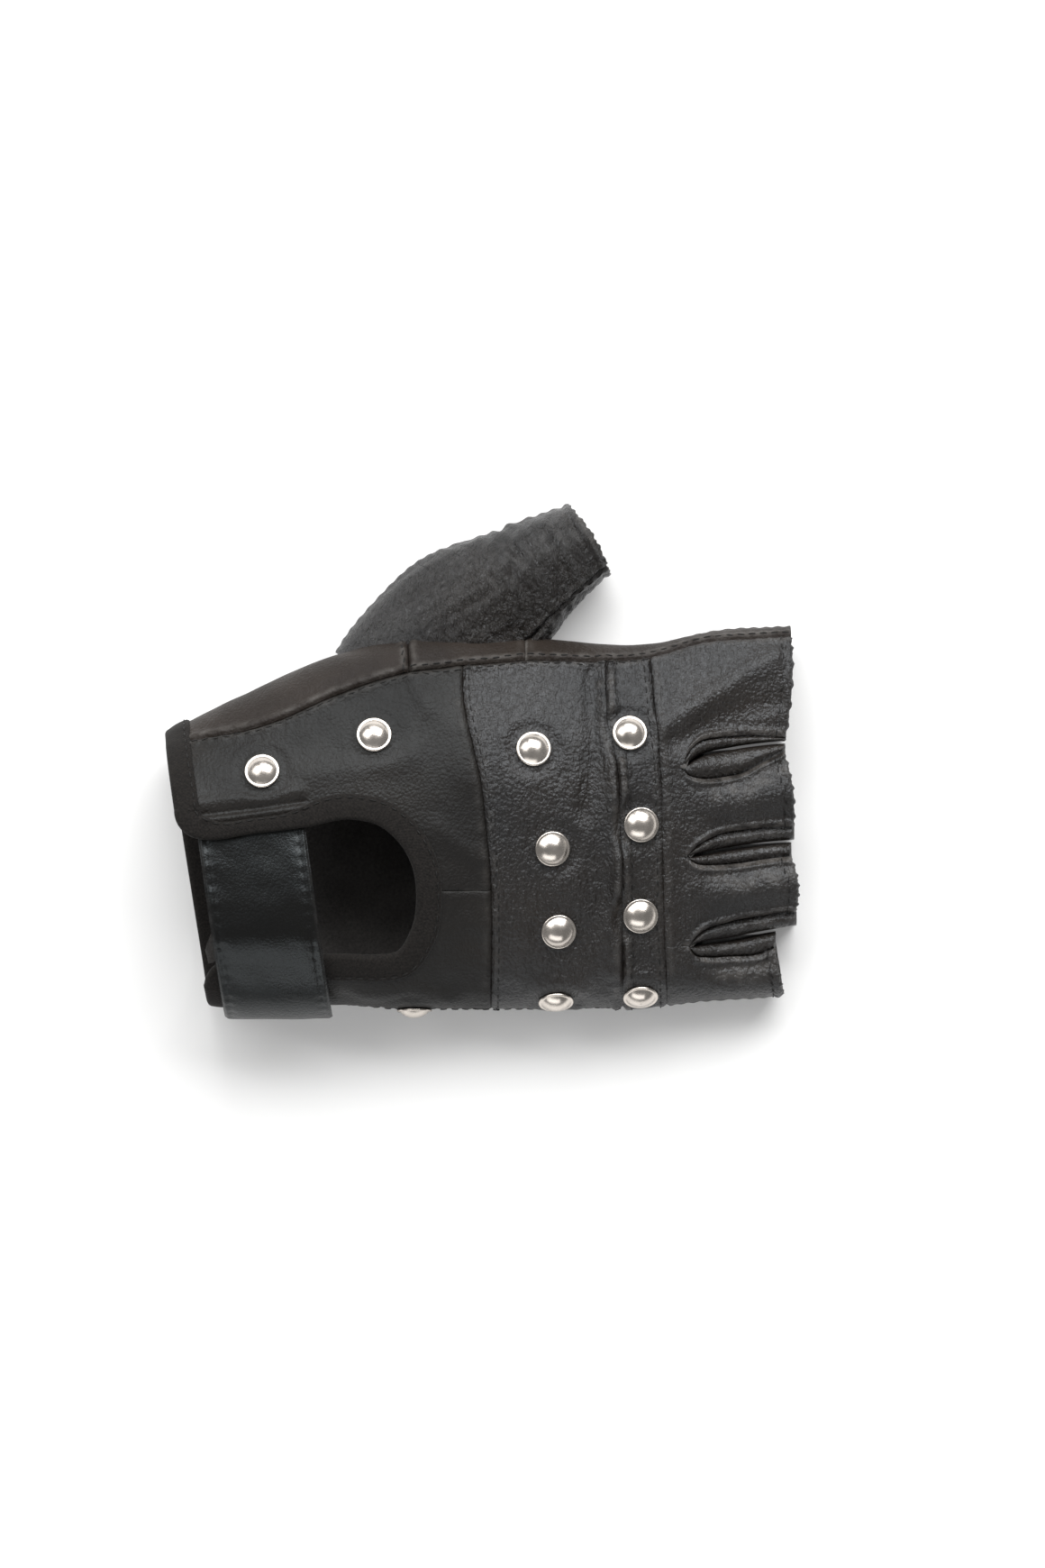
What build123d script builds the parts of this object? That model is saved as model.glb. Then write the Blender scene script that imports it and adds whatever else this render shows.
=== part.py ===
"""Left-hand fingerless glove: leather panels round a hand form, dome rivets, bound edges and a hook-and-loop strap.

Frame, in millimetres: +X from the wrist to the fingers, +Y to the thumb side, +Z out of the back of the hand.
The glove lies on its palm on Z = 0.
"""

import os
from math import acos, atan2, cos, degrees, radians, sin, sqrt

from build123d import *

# Overall size of the hand form
glove_length = 160.0  # wrist edge to the longest finger stall
glove_breadth = 97.0  # little finger side to index finger side
wrist_height = 41.0  # back of the wrist above the table
side_roundness = 0.64  # radius of the hand's sides, as a share of the crown's rise over them

# Leather, tape and patches
leather = 1.0
tape = 0.7  # thickness of one layer of edge binding
tape_width = 5.5
patch = 1.0  # thickness of the hook patch, and of the loop patch
soft_gap = 0.3  # between soft pieces that part from each other

# Keyhole in the back of the wrist
keyhole_width = 35.0

# Strap over the wrist
strap_width = 27.5
strap_thickness = 1.6
strap_back = 16.2  # middle of the strap to where the hand starts to widen
strap_lean = 0.139  # towards the hand, over each millimetre of breadth
strap_root_length = 7.5  # part sewn under the thumb side panel
strap_lead = 3.0  # strap that shows between the keyhole edge and its fold line
strap_split_angle = 118.0  # where the free end starts to peel, round the back of the wrist
strap_tip_angle = 176.0
patch_end_angle = 178.0
patch_inset = 2.5  # strap edge to hook patch edge

# Dome rivets: places along the hand, and angles round a hub inside it
rivet_hub_y = -25.0
rivet_hub_z = 12.0
cap_radius = 4.5
cap_height = 2.3
cap_rim = 0.7
seat_radius = 4.4
seat_rise = 0.15  # flat seat over the round of the leather
post_radius = 1.2
post_clearance = 0.05
post_in_cap = 1.2
back_radius = 3.5
back_thickness = 0.8

# Grooves between the finger stalls
groove_gap = 2.4
gusset_leather = 1.0

# Thumb stall
thumb_tip_radius = 10.6

# How far the wrist edge and the seams of the back lean over the breadth
wrist_edge_lean = 0.16
band_seam_lean = 0.089
strip_seam_lean = 0.04
palm_seam_z = 7.0  # lower seam of the side strips
reach = 90.0  # how far cutting shapes run past the glove


def along(percent):
    return glove_length * percent / 100


def across(percent):
    return glove_breadth * percent / 100


def above(percent):
    return wrist_height * percent / 100


# Places along the hand, from the wrist to the fingers
keyhole_end_x = along(-9.6875)
thumb_gusset_start_x = along(-11.25)
thumb_gusset_end_x = along(6.875)
band_seam_x = along(-1.625)
strip_seam_x = along(20.75)
finger_seam_x = along(28.75)
crotch_x = along(34.6875)


class FormSection:
    """One cross-section of the hand form: a flat sole, round corners and sides, and a shallow crown."""

    def __init__(self, x, thumb_y, little_y, crown_y, crown_z, side_z, floor_z):
        self.x = x
        self.thumb_y = thumb_y
        self.little_y = little_y
        self.crown_y = crown_y
        self.crown_z = crown_z
        self.side_z = side_z
        self.floor_z = floor_z
        self.corner_radius = side_z - floor_z
        self.side_radius = side_roundness * (crown_z - side_z)

    def crown_arc(self, side_y):
        """Centre height, radius and end angle of the crown arc that runs into the side arc centred at side_y."""
        rise = self.crown_z - self.side_z
        reach_y = side_y - self.crown_y
        radius = (reach_y**2 + rise**2 - self.side_radius**2) / (2 * (rise - self.side_radius))
        centre_z = self.crown_z - radius
        return centre_z, radius, degrees(atan2(self.side_z - centre_z, reach_y))

    def little_centre(self):
        return self.little_y + self.side_radius

    def thumb_centre(self):
        return self.thumb_y - self.side_radius

    def top_at(self, y):
        """Height of the form's top at y."""
        side_y = self.little_centre() if y < self.crown_y else self.thumb_centre()
        centre_z, radius, angle = self.crown_arc(side_y)
        if abs(y - self.crown_y) < abs(radius * cos(radians(angle))):
            return centre_z + sqrt(radius**2 - (y - self.crown_y) ** 2)
        return self.side_z + sqrt(self.side_radius**2 - (y - side_y) ** 2)

    def sketch(self, inset):
        """The section as a face, drawn in by inset all round."""
        little_z, little_radius, little_angle = self.crown_arc(self.little_centre())
        thumb_z, thumb_radius, thumb_angle = self.crown_arc(self.thumb_centre())
        corner = self.corner_radius
        little_corner = (self.little_y + corner, self.side_z)
        thumb_corner = (self.thumb_y - corner, self.side_z)
        with BuildSketch(Plane.YZ.offset(self.x)) as section:
            with BuildLine():
                CenterArc(little_corner, corner - inset, 180, 90)
                Line((little_corner[0], self.floor_z + inset), (thumb_corner[0], self.floor_z + inset))
                CenterArc(thumb_corner, corner - inset, 270, 90)
                CenterArc((self.thumb_centre(), self.side_z), self.side_radius - inset, 0, thumb_angle)
                CenterArc((self.crown_y, thumb_z), thumb_radius - inset, thumb_angle, 90 - thumb_angle)
                CenterArc((self.crown_y, little_z), little_radius - inset, 90, little_angle - 90)
                side_turn = 180 - little_angle
                CenterArc((self.little_centre(), self.side_z), self.side_radius - inset, little_angle, side_turn)
            make_face()
        return section.sketch


# Stations of the hand form: percent of the length, of the breadth (thumb side, little side, crown),
# of the wrist height (crown, side), and the sole's height in millimetres
form = [
    FormSection(along(-54), across(4.6), across(-62.9), across(-20.6), above(100), above(41), 1.5),
    FormSection(along(-37.5), across(19.1), across(-62.9), across(-20.6), above(100), above(41), 0.8),
    FormSection(along(-25), across(28.4), across(-62.9), across(-20.6), above(100), above(41), 0.0),
    FormSection(along(-11.25), across(34.3), across(-64.2), across(-16.5), above(94), above(35.4), 0.0),
    FormSection(along(6.9), across(33.8), across(-64.1), across(-9.3), above(85.4), above(31.7), 0.0),
    FormSection(finger_seam_x, across(31.4), across(-62.9), across(-5.2), above(73.2), above(29.3), 0.0),
]
wrist_section = form[2]
knuckle_section = form[-1]
keyhole_y = across(-34)
keyhole_edge_y = keyhole_y + keyhole_width / 2


class FingerSection:
    """One cross-section of the four finger stalls: a flat sole and one arch for each finger."""

    def __init__(self, x, thumb_y, little_y, side_z, valleys, crowns):
        self.x = x
        self.thumb_y = thumb_y
        self.little_y = little_y
        self.side_z = side_z
        self.valleys = valleys  # (y, z) between fingers, from the index side
        self.crowns = crowns  # z of each arch, index finger first

    def sketch(self, inset):
        corner = self.side_z
        ends = [(self.thumb_y - inset, self.side_z)]
        ends += [(y, z - inset) for y, z in self.valleys]
        ends += [(self.little_y + inset, self.side_z)]
        with BuildSketch(Plane.YZ.offset(self.x)) as section:
            with BuildLine():
                for start, end, crown_z in zip(ends, ends[1:], self.crowns):
                    ThreePointArc(start, ((start[0] + end[0]) / 2, crown_z - inset), end)
                CenterArc((self.little_y + corner, self.side_z), corner - inset, 180, 90)
                Line((self.little_y + corner, inset), (self.thumb_y - corner, inset))
                CenterArc((self.thumb_y - corner, self.side_z), corner - inset, 270, 90)
            make_face()
        return section.sketch


# Groove between each pair of fingers: (y at the crotch, y at the finger ends)
groove_lines = [
    (across(3.1), across(8.2)),
    (across(-20.1), across(-18.0)),
    (across(-43.8), across(-41.8)),
]
finger_ends = [along(48.7), along(50.0), along(50.5), along(47.8)]  # index, middle, ring, little
past_fingers_x = along(52)


def groove_y(number, x):
    at_crotch, at_end = groove_lines[number]
    return at_crotch + (at_end - at_crotch) * (x - crotch_x) / (finger_ends[1] - crotch_x)


def finger_section(x, thumb_y, little_y, side_z, valley_drops, crowns):
    valleys = [(groove_y(n, x), crowns[n + 1] - drop) for n, drop in enumerate(valley_drops)]
    return FingerSection(x, thumb_y, little_y, side_z, valleys, crowns)


fingers = [
    knuckle_section,
    finger_section(
        along(36), across(35.2), across(-62.1), above(26.8), (4.5, 4.0, 2.5), [above(p) for p in (64, 66, 62, 52)]
    ),
    finger_section(
        past_fingers_x, across(36.6), across(-60.4), above(24), (7.0, 6.5, 4.5), [above(p) for p in (57, 58, 56, 47)]
    ),
]


def form_loft(sections, inset):
    """The solid inside the form, drawn in by inset."""
    with BuildPart() as solid:
        loft(sections=[section.sketch(inset) for section in sections], ruled=True)
    return solid.part


hand_solid = form_loft(form, 0)
hand_cavity = form_loft(form, leather)
finger_solid = form_loft(fingers, 0)
finger_cavity = form_loft(fingers, leather)

# Thumb stall: (x, y, z, half breadth, half height, heading) of each section, from the root to the mouth
thumb_stations = [
    (along(-20), across(9), above(26), across(13.5), above(18.5), 52),
    (along(-10), across(24.7), above(27), across(20.1), above(24), 50),
    (along(0.6), across(41.2), above(28), across(18.6), above(25.5), 38),
    (along(9.2), across(51), above(29), across(13.4), above(26.8), 34),
    (along(16.8), across(58.4), above(29.5), thumb_tip_radius, thumb_tip_radius + 0.4, 31),
]


def thumb_loft(inset):
    """The solid inside the thumb stall, drawn in by inset."""
    sections = []
    for x, y, z, half_breadth, half_height, heading in thumb_stations:
        ahead = (cos(radians(heading)), sin(radians(heading)), 0)
        aside = (-ahead[1], ahead[0], 0)
        with BuildSketch(Plane(origin=(x, y, z), x_dir=aside, z_dir=ahead)) as section:
            Ellipse(half_breadth - inset, half_height - inset)
        sections.append(section.sketch)
    with BuildPart() as solid:
        loft(sections=sections)
    return solid.part


thumb_solid = thumb_loft(0)
thumb_cavity = thumb_loft(leather)


def band_seam(y):
    return band_seam_x - band_seam_lean * y


def strip_seam(y):
    return strip_seam_x - strip_seam_lean * y


def wrist_edge(y):
    """X of the finished wrist edge, which leans towards the hand on the little finger side."""
    return along(-49.1) - wrist_edge_lean * y


def between(start, end, z=0.0, height=reach):
    """A prism over the strip of the glove between two seams, each given as X for a Y."""
    corners = [(start(reach), reach), (end(reach), reach), (end(-reach), -reach), (start(-reach), -reach)]
    with BuildPart() as prism:
        with BuildSketch(Plane.XY.offset(z)):
            with BuildLine():
                Polyline(*corners, close=True)
            make_face()
        extrude(amount=height)
    return prism.part


def keyhole(half_width, height=reach):
    """A prism through the keyhole's outline, over the sides of the wrist."""
    end_centre = (keyhole_end_x - keyhole_width / 2, keyhole_y)
    with BuildPart() as prism:
        with BuildSketch(Plane.XY.offset(above(49))):
            SlotCenterPoint((end_centre[0] - reach, keyhole_y), end_centre, 2 * half_width)
        extrude(amount=height)
    return prism.part


# Side seam of the back, seen from above, from the wrist to the index finger's end: (x, y)
side_seam = [
    (along(-56), across(3.5)),
    (along(-47.2), across(6.3)),
    (along(-33.3), across(11.1)),
    (along(-24.4), across(17.6)),
    (along(-13.2), across(23.6)),
    (along(6.9), across(27.7)),
    (along(26.7), across(28.2)),
    (along(36), across(32.8)),
    (along(43), across(33.9)),
    (along(52), across(34.4)),
]
# Side seam on the little finger side, which drops towards the fingers
little_seam = Plane(origin=(0, 0, above(25)), z_dir=(0.03, 0, 1))


def beside_seam(toward, z):
    """A prism above height z, over all the glove on one side of the side seam: toward +Y or toward -Y."""
    far_y = toward * 2 * reach
    with BuildPart() as prism:
        with BuildSketch(Plane.XY.offset(z)):
            with BuildLine():
                seam = Spline(*side_seam)
                Polyline(seam @ 1, ((seam @ 1).X, far_y), ((seam @ 0).X, far_y), seam @ 0)
            make_face()
        extrude(amount=reach)
    return prism.part


with BuildPart() as back_region:
    add(beside_seam(-1, 0))
    split(bisect_by=little_seam, keep=Keep.TOP)

strip_region = beside_seam(1, palm_seam_z)


def to_x(x):
    return lambda y: x


def leather_start(y):
    return wrist_edge(y) + tape


# All the leather of the hand, before it is cut into panels
with BuildPart() as hand_leather:
    add(hand_solid)
    add(hand_cavity, mode=Mode.SUBTRACT)
    add(between(leather_start, to_x(finger_seam_x), z=-1), mode=Mode.INTERSECT)
    add(keyhole(keyhole_width / 2 + tape), mode=Mode.SUBTRACT)
    add(thumb_cavity, mode=Mode.SUBTRACT)


def finger_edge_y(number, x):
    """Y of the line between two fingers, or a line past the glove's side."""
    if 0 <= number < len(groove_lines):
        return groove_y(number, x)
    return reach if number < 0 else -reach


# The ground that the finger stalls cover, seen from above
with BuildPart() as finger_field:
    with BuildSketch(Plane.XY.offset(-1)):
        for finger, end_x in enumerate(finger_ends):
            with BuildLine():
                Polyline(
                    (finger_seam_x, finger_edge_y(finger - 1, finger_seam_x)),
                    (end_x, finger_edge_y(finger - 1, end_x)),
                    (end_x, finger_edge_y(finger, end_x)),
                    (finger_seam_x, finger_edge_y(finger, finger_seam_x)),
                    close=True,
                )
            make_face()
    extrude(amount=reach)


def groove(number, half_width):
    """A prism over the groove between two fingers, which runs out past the finger ends."""
    start = (crotch_x, groove_y(number, crotch_x))
    end = (past_fingers_x, groove_y(number, past_fingers_x))
    middle = ((start[0] + end[0]) / 2, (start[1] + end[1]) / 2)
    with BuildPart() as prism:
        with BuildSketch(Plane.XY.offset(-1)):
            SlotCenterPoint(middle, end, 2 * half_width)
        extrude(amount=reach)
    return prism.part


gusset_outer = groove_gap / 2 + gusset_leather

# All the leather of the finger stalls but their gussets
with BuildPart() as finger_leather:
    add(finger_solid)
    add(finger_cavity, mode=Mode.SUBTRACT)
    add(finger_field.part, mode=Mode.INTERSECT)
    for number in range(len(groove_lines)):
        add(groove(number, gusset_outer), mode=Mode.SUBTRACT)


# Rivets
class Rivet:
    """A dome rivet through the back: x, and the angle from straight up of a ray from the hub to its place."""

    def __init__(self, x, angle):
        outward = Vector(0, sin(radians(angle)), cos(radians(angle)))
        hub = Vector(x, rivet_hub_y, rivet_hub_z)
        hits = hand_solid.shells()[0].find_intersection_points(Axis(hub, outward))
        point, normal = hits[-1]
        seat_centre = point + normal * seat_rise
        aside = Vector(1, 0, 0) - normal * normal.X
        self.plane = Plane(origin=seat_centre, x_dir=aside, z_dir=normal)
        self.profile = Plane(origin=seat_centre, x_dir=aside, z_dir=aside.cross(normal))
        self.axis = Axis(seat_centre, normal)


wrist_rivets = [Rivet(along(-34.8), 42.0), Rivet(along(-17.1), 54.0), Rivet(along(-10.8), -84.0)]
band_rivets = [
    Rivet(along(8.2), 53.5),
    Rivet(along(11.2), 10.0),
    Rivet(along(12.2), -45.5),
    Rivet(along(11.8), -78.0),
]
strip_rivets = [
    Rivet(along(23.5), 62.0),
    Rivet(along(25.3), 28.0),
    Rivet(along(25.2), -41.0),
    Rivet(along(25.3), -78.0),
]


def disc(plane, radius, start, end):
    """A disc on a rivet's axis between two heights over the leather."""
    with BuildPart() as part:
        with BuildSketch(plane.offset(start)):
            Circle(radius)
        extrude(amount=end - start)
    return part.part


def seat(rivets):
    """Flatten the leather of the open part under each rivet, and cut its hole."""
    for rivet in rivets:
        add(disc(rivet.plane, seat_radius, -leather, 0))
        add(disc(rivet.plane, cap_radius + cap_rim, 0, cap_height), mode=Mode.SUBTRACT)
        add(disc(rivet.plane, back_radius + soft_gap, -2 * seat_radius, -leather), mode=Mode.SUBTRACT)
        add(disc(rivet.plane, post_radius + post_clearance, -2 * leather, leather), mode=Mode.SUBTRACT)


parts = []


def finish(sub_part, label):
    sub_part.part.label = label
    parts.append(sub_part.part)


# Leather panels
with BuildPart() as back_panel_thumb_side:
    add(hand_leather.part)
    add(back_region.part, mode=Mode.INTERSECT)
    add(between(leather_start, band_seam), mode=Mode.INTERSECT)
    split(bisect_by=Plane.XZ.offset(-keyhole_y), keep=Keep.BOTTOM)
    seat(wrist_rivets[:2])
finish(back_panel_thumb_side, "back_panel_thumb_side")

with BuildPart() as back_panel_little_side:
    add(hand_leather.part)
    add(back_region.part, mode=Mode.INTERSECT)
    add(between(leather_start, band_seam), mode=Mode.INTERSECT)
    split(bisect_by=Plane.XZ.offset(-keyhole_y), keep=Keep.TOP)
    seat(wrist_rivets[2:])
finish(back_panel_little_side, "back_panel_little_side")

with BuildPart() as hand_band:
    add(hand_leather.part)
    add(back_region.part, mode=Mode.INTERSECT)
    add(between(band_seam, strip_seam), mode=Mode.INTERSECT)
    seat(band_rivets)
finish(hand_band, "hand_band")

with BuildPart() as knuckle_strip:
    add(hand_leather.part)
    add(back_region.part, mode=Mode.INTERSECT)
    add(between(strip_seam, to_x(finger_seam_x)), mode=Mode.INTERSECT)
    seat(strip_rivets)
finish(knuckle_strip, "knuckle_strip")

with BuildPart() as finger_back:
    add(finger_leather.part)
    add(back_region.part, mode=Mode.INTERSECT)
finish(finger_back, "finger_back")

with BuildPart() as palm_panel:
    add(hand_leather.part)
    add(finger_leather.part)
    add(back_region.part, mode=Mode.SUBTRACT)
    add(strip_region, mode=Mode.SUBTRACT)
finish(palm_panel, "palm_panel")

with BuildPart() as thumb_side_panel:
    add(hand_leather.part)
    add(strip_region, mode=Mode.INTERSECT)
    add(between(leather_start, to_x(thumb_gusset_start_x)), mode=Mode.INTERSECT)
finish(thumb_side_panel, "thumb_side_panel")

with BuildPart() as thumb_gusset:
    add(hand_leather.part)
    add(strip_region, mode=Mode.INTERSECT)
    add(between(to_x(thumb_gusset_start_x), to_x(thumb_gusset_end_x)), mode=Mode.INTERSECT)
finish(thumb_gusset, "thumb_gusset")

with BuildPart() as index_side_strip:
    add(hand_leather.part)
    add(finger_leather.part)
    add(strip_region, mode=Mode.INTERSECT)
    add(between(to_x(thumb_gusset_end_x), to_x(reach)), mode=Mode.INTERSECT)
finish(index_side_strip, "index_side_strip")

# Gussets between the fingers
gusset_labels = ["gusset_index_middle", "gusset_middle_ring", "gusset_ring_little"]
for number, label in enumerate(gusset_labels):
    with BuildPart() as gusset:
        add(finger_solid)
        add(finger_field.part, mode=Mode.INTERSECT)
        add(groove(number, gusset_outer), mode=Mode.INTERSECT)
        add(groove(number, groove_gap / 2), mode=Mode.SUBTRACT)
    finish(gusset, label)

# Thumb stall: two halves, joined along its sides
with BuildPart() as above_thumb_seam:
    with BuildSketch(Plane(origin=(0, 0, above(48)), z_dir=(-0.165, 0.211, 1))):
        Rectangle(4 * reach, 4 * reach)
    extrude(amount=reach)

with BuildPart() as thumb_leather:
    add(thumb_solid)
    add(thumb_cavity, mode=Mode.SUBTRACT)
    add(hand_solid, mode=Mode.SUBTRACT)

with BuildPart() as thumb_back:
    add(thumb_leather.part)
    add(above_thumb_seam.part, mode=Mode.INTERSECT)
finish(thumb_back, "thumb_back")

with BuildPart() as thumb_front:
    add(thumb_leather.part)
    add(above_thumb_seam.part, mode=Mode.SUBTRACT)
finish(thumb_front, "thumb_front")

# Edge bindings: one layer of tape outside, one inside, folded round the leather's edge
under_tape = form_loft(form, leather + tape)

with BuildPart() as tape_layers:
    add(form_loft(form, -tape))
    add(under_tape, mode=Mode.SUBTRACT)
    add(hand_leather.part, mode=Mode.SUBTRACT)


def binding_end(y):
    return leather_start(y) + tape_width


with BuildPart() as wrist_binding:
    add(tape_layers.part)
    add(between(wrist_edge, binding_end, z=-1), mode=Mode.INTERSECT)
    add(keyhole(keyhole_width / 2 + tape_width), mode=Mode.SUBTRACT)
finish(wrist_binding, "wrist_binding")

with BuildPart() as keyhole_binding:
    add(tape_layers.part)
    add(between(wrist_edge, to_x(reach), z=-1), mode=Mode.INTERSECT)
    add(keyhole(keyhole_width / 2 + tape_width), mode=Mode.INTERSECT)
    add(keyhole(keyhole_width / 2), mode=Mode.SUBTRACT)
finish(keyhole_binding, "keyhole_binding")

# Strap
fold_y = keyhole_edge_y - strap_lead
fold_z = wrist_section.top_at(fold_y) - leather - tape
strap_lift = 2 * patch + soft_gap  # strap's inner face over the leather
crown_centre_z, crown_radius, crown_angle = wrist_section.crown_arc(wrist_section.little_centre())
crown_centre = (wrist_section.crown_y, crown_centre_z)
side_centre = (wrist_section.little_centre(), wrist_section.side_z)
side_radius = wrist_section.side_radius
strap_x = wrist_section.x - strap_back
patch_start_y = keyhole_y - keyhole_width / 2 - tape_width - soft_gap
patch_start_angle = degrees(acos((patch_start_y - side_centre[0]) / side_radius))
hook_turn = degrees(patch_inset / 2 / side_radius)  # loop patch end to hook patch end


def strap_start(y):
    return strap_x - strap_width / 2 - strap_lean * (y - keyhole_y)


def strap_end(y):
    return strap_start(y) + strap_width


def arc_point(centre, radius, angle):
    return (centre[0] + radius * cos(radians(angle)), centre[1] + radius * sin(radians(angle)))


def round_crown(offset, start, end):
    """In the open line: an arc over the back of the wrist, at an offset from the leather."""
    CenterArc(crown_centre, crown_radius + offset, start, end - start)


def round_side(offset, start, end):
    """In the open line: an arc round the little finger side of the wrist, at an offset from the leather."""
    CenterArc(side_centre, side_radius + offset, start, end - start)


with BuildPart() as strap_root:
    add(under_tape)
    add(form_loft(form, leather + tape + strap_thickness), mode=Mode.SUBTRACT)
    with BuildSketch(Plane.XY.offset(above(50))):
        with BuildLine():
            root_y = keyhole_edge_y + strap_root_length
            start_y = fold_y + soft_gap
            Polyline(
                (strap_start(root_y), root_y),
                (strap_end(root_y), root_y),
                (strap_end(start_y), start_y),
                (strap_start(start_y), start_y),
                close=True,
            )
        make_face()
    extrude(amount=reach, mode=Mode.INTERSECT)
finish(strap_root, "strap_root")

# Everything round the wrist is drawn on one plane and drawn out past the strap's edges
section_plane = Plane.YZ.offset(-reach)
strap_middle = strap_lift + strap_thickness / 2
strap_outside = strap_lift + strap_thickness
split_turn = degrees(soft_gap / (crown_radius + strap_outside))

with BuildPart() as strap:
    with BuildSketch(section_plane):
        with BuildLine():
            split_point = arc_point(crown_centre, crown_radius + strap_middle, strap_split_angle)
            along_arc = (-sin(radians(strap_split_angle)), cos(radians(strap_split_angle)))
            Spline(
                (fold_y - soft_gap, fold_z - strap_thickness / 2),
                split_point,
                tangents=[(-1, 0), along_arc],
            )
        trace(line_width=strap_thickness)
    extrude(amount=reach)
    add(between(strap_start, strap_end), mode=Mode.INTERSECT)
finish(strap, "strap")

with BuildPart() as strap_tip:
    with BuildSketch(section_plane):
        with BuildLine():
            round_crown(strap_middle, strap_split_angle + split_turn, crown_angle)
            round_side(strap_middle, crown_angle, strap_tip_angle)
        trace(line_width=strap_thickness)
    extrude(amount=reach)
    add(between(strap_start, strap_end), mode=Mode.INTERSECT)
finish(strap_tip, "strap_tip")



def loop_start(y):
    return binding_end(y) + soft_gap


def loop_end(y):
    return strap_end(y) - patch_inset / 2


def hook_start(y):
    return loop_start(y) + patch_inset / 2


def hook_end(y):
    return loop_end(y) - patch_inset / 2


with BuildPart() as loop_patch:
    with BuildSketch(section_plane):
        with BuildLine():
            round_side(patch / 2, patch_start_angle, patch_end_angle)
        trace(line_width=patch)
    extrude(amount=reach)
    add(between(loop_start, loop_end), mode=Mode.INTERSECT)
finish(loop_patch, "loop_patch")

with BuildPart() as hook_patch:
    with BuildSketch(section_plane):
        with BuildLine():
            round_side(strap_lift - patch / 2, patch_start_angle + hook_turn, patch_end_angle - hook_turn)
        trace(line_width=patch)
    extrude(amount=reach)
    add(between(hook_start, hook_end), mode=Mode.INTERSECT)
finish(hook_patch, "hook_patch")


# Rivets: a domed cap over the leather, and a post that passes through it into the cap
def rivet_cap(rivet):
    bore = post_radius + post_clearance
    with BuildPart() as cap:
        with BuildSketch(rivet.profile):
            with BuildLine():
                rim = ThreePointArc(
                    (cap_radius - cap_rim / 2, 0), (cap_radius, cap_rim / 2), (cap_radius - cap_rim / 2, cap_rim)
                )
                foot = (cap_radius - cap_rim, cap_rim)
                Line(rim @ 1, foot)
                TangentArc((0, cap_height), foot, tangent=(1, 0))
                Polyline((0, cap_height), (0, post_in_cap), (bore, post_in_cap), (bore, 0), rim @ 0)
            make_face()
        revolve(axis=rivet.axis)
    return cap.part


def rivet_post(rivet):
    with BuildPart() as post:
        add(disc(rivet.plane, back_radius, -leather - back_thickness, -leather))
        add(disc(rivet.plane, post_radius, -leather, post_in_cap - post_clearance))
    return post.part


rivet_rows = {"wrist": wrist_rivets, "band": band_rivets, "knuckle": strip_rivets}
for row, rivets in rivet_rows.items():
    with BuildPart() as rivet_caps:
        for rivet in rivets:
            add(rivet_cap(rivet))
    finish(rivet_caps, f"rivet_caps_{row}")
    with BuildPart() as rivet_posts:
        for rivet in rivets:
            add(rivet_post(rivet))
    finish(rivet_posts, f"rivet_posts_{row}")

os.makedirs("parts", exist_ok=True)
for part in parts:
    export_step(part, f"parts/{part.label}.step")
print("strap fold", (round(fold_y, 3), round(fold_z, 3)))
print("strap split", arc_point(crown_centre, crown_radius + strap_outside, strap_split_angle))
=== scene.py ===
import bmesh
import bpy
import numpy as np
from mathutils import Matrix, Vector


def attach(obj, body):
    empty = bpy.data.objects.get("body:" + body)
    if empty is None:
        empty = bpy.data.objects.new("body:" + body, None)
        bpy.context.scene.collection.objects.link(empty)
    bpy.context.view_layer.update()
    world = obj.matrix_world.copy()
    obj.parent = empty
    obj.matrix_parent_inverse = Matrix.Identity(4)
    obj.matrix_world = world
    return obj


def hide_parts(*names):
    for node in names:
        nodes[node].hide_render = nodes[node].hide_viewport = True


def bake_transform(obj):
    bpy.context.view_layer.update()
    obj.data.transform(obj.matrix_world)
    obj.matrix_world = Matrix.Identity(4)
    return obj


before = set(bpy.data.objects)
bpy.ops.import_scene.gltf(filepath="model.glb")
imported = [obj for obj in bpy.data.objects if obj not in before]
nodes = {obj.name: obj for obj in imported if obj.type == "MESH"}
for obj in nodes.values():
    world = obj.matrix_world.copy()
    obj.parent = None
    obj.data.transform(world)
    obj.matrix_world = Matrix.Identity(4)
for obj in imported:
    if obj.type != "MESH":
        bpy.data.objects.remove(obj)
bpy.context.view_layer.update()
mm = 0.001  # shapes below are worked out in millimetres

# x runs from the wrist to the fingers, y to the thumb's side, z out of the back of the hand.


def smoothThrough(knots, values, at):
    # A cubic between each two knots; the slope at a knot is the mean of its neighbours' slopes.
    knots, values, at = np.asarray(knots, float), np.asarray(values, float), np.asarray(at, float)
    gap = np.diff(knots)
    rise = np.diff(values) / gap
    between = (rise[:-1] * gap[1:] + rise[1:] * gap[:-1]) / (gap[:-1] + gap[1:])
    slope = np.concatenate([rise[:1], between, rise[-1:]])
    inside = np.clip(at, knots[0], knots[-1])
    i = np.clip(np.searchsorted(knots, inside) - 1, 0, len(gap) - 1)
    w = (inside - knots[i]) / gap[i]
    start = (1 + 2 * w) * (1 - w) ** 2 * values[i] + w * (1 - w) ** 2 * gap[i] * slope[i]
    end = w**2 * (3 - 2 * w) * values[i + 1] + w**2 * (w - 1) * gap[i] * slope[i + 1]
    beyond = np.where(at > knots[-1], slope[-1], slope[0]) * (at - inside)
    return start + end + beyond


def runAlong(points):
    # The line's length so far at each of its points.
    return np.concatenate([[0], np.cumsum(np.linalg.norm(np.diff(points, axis=0), axis=-1))])


def pick(values, run, at):
    # Rows of values at given lengths along a line, straight between its points.
    return np.stack([np.interp(at, run, column) for column in values.T], -1)


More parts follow.
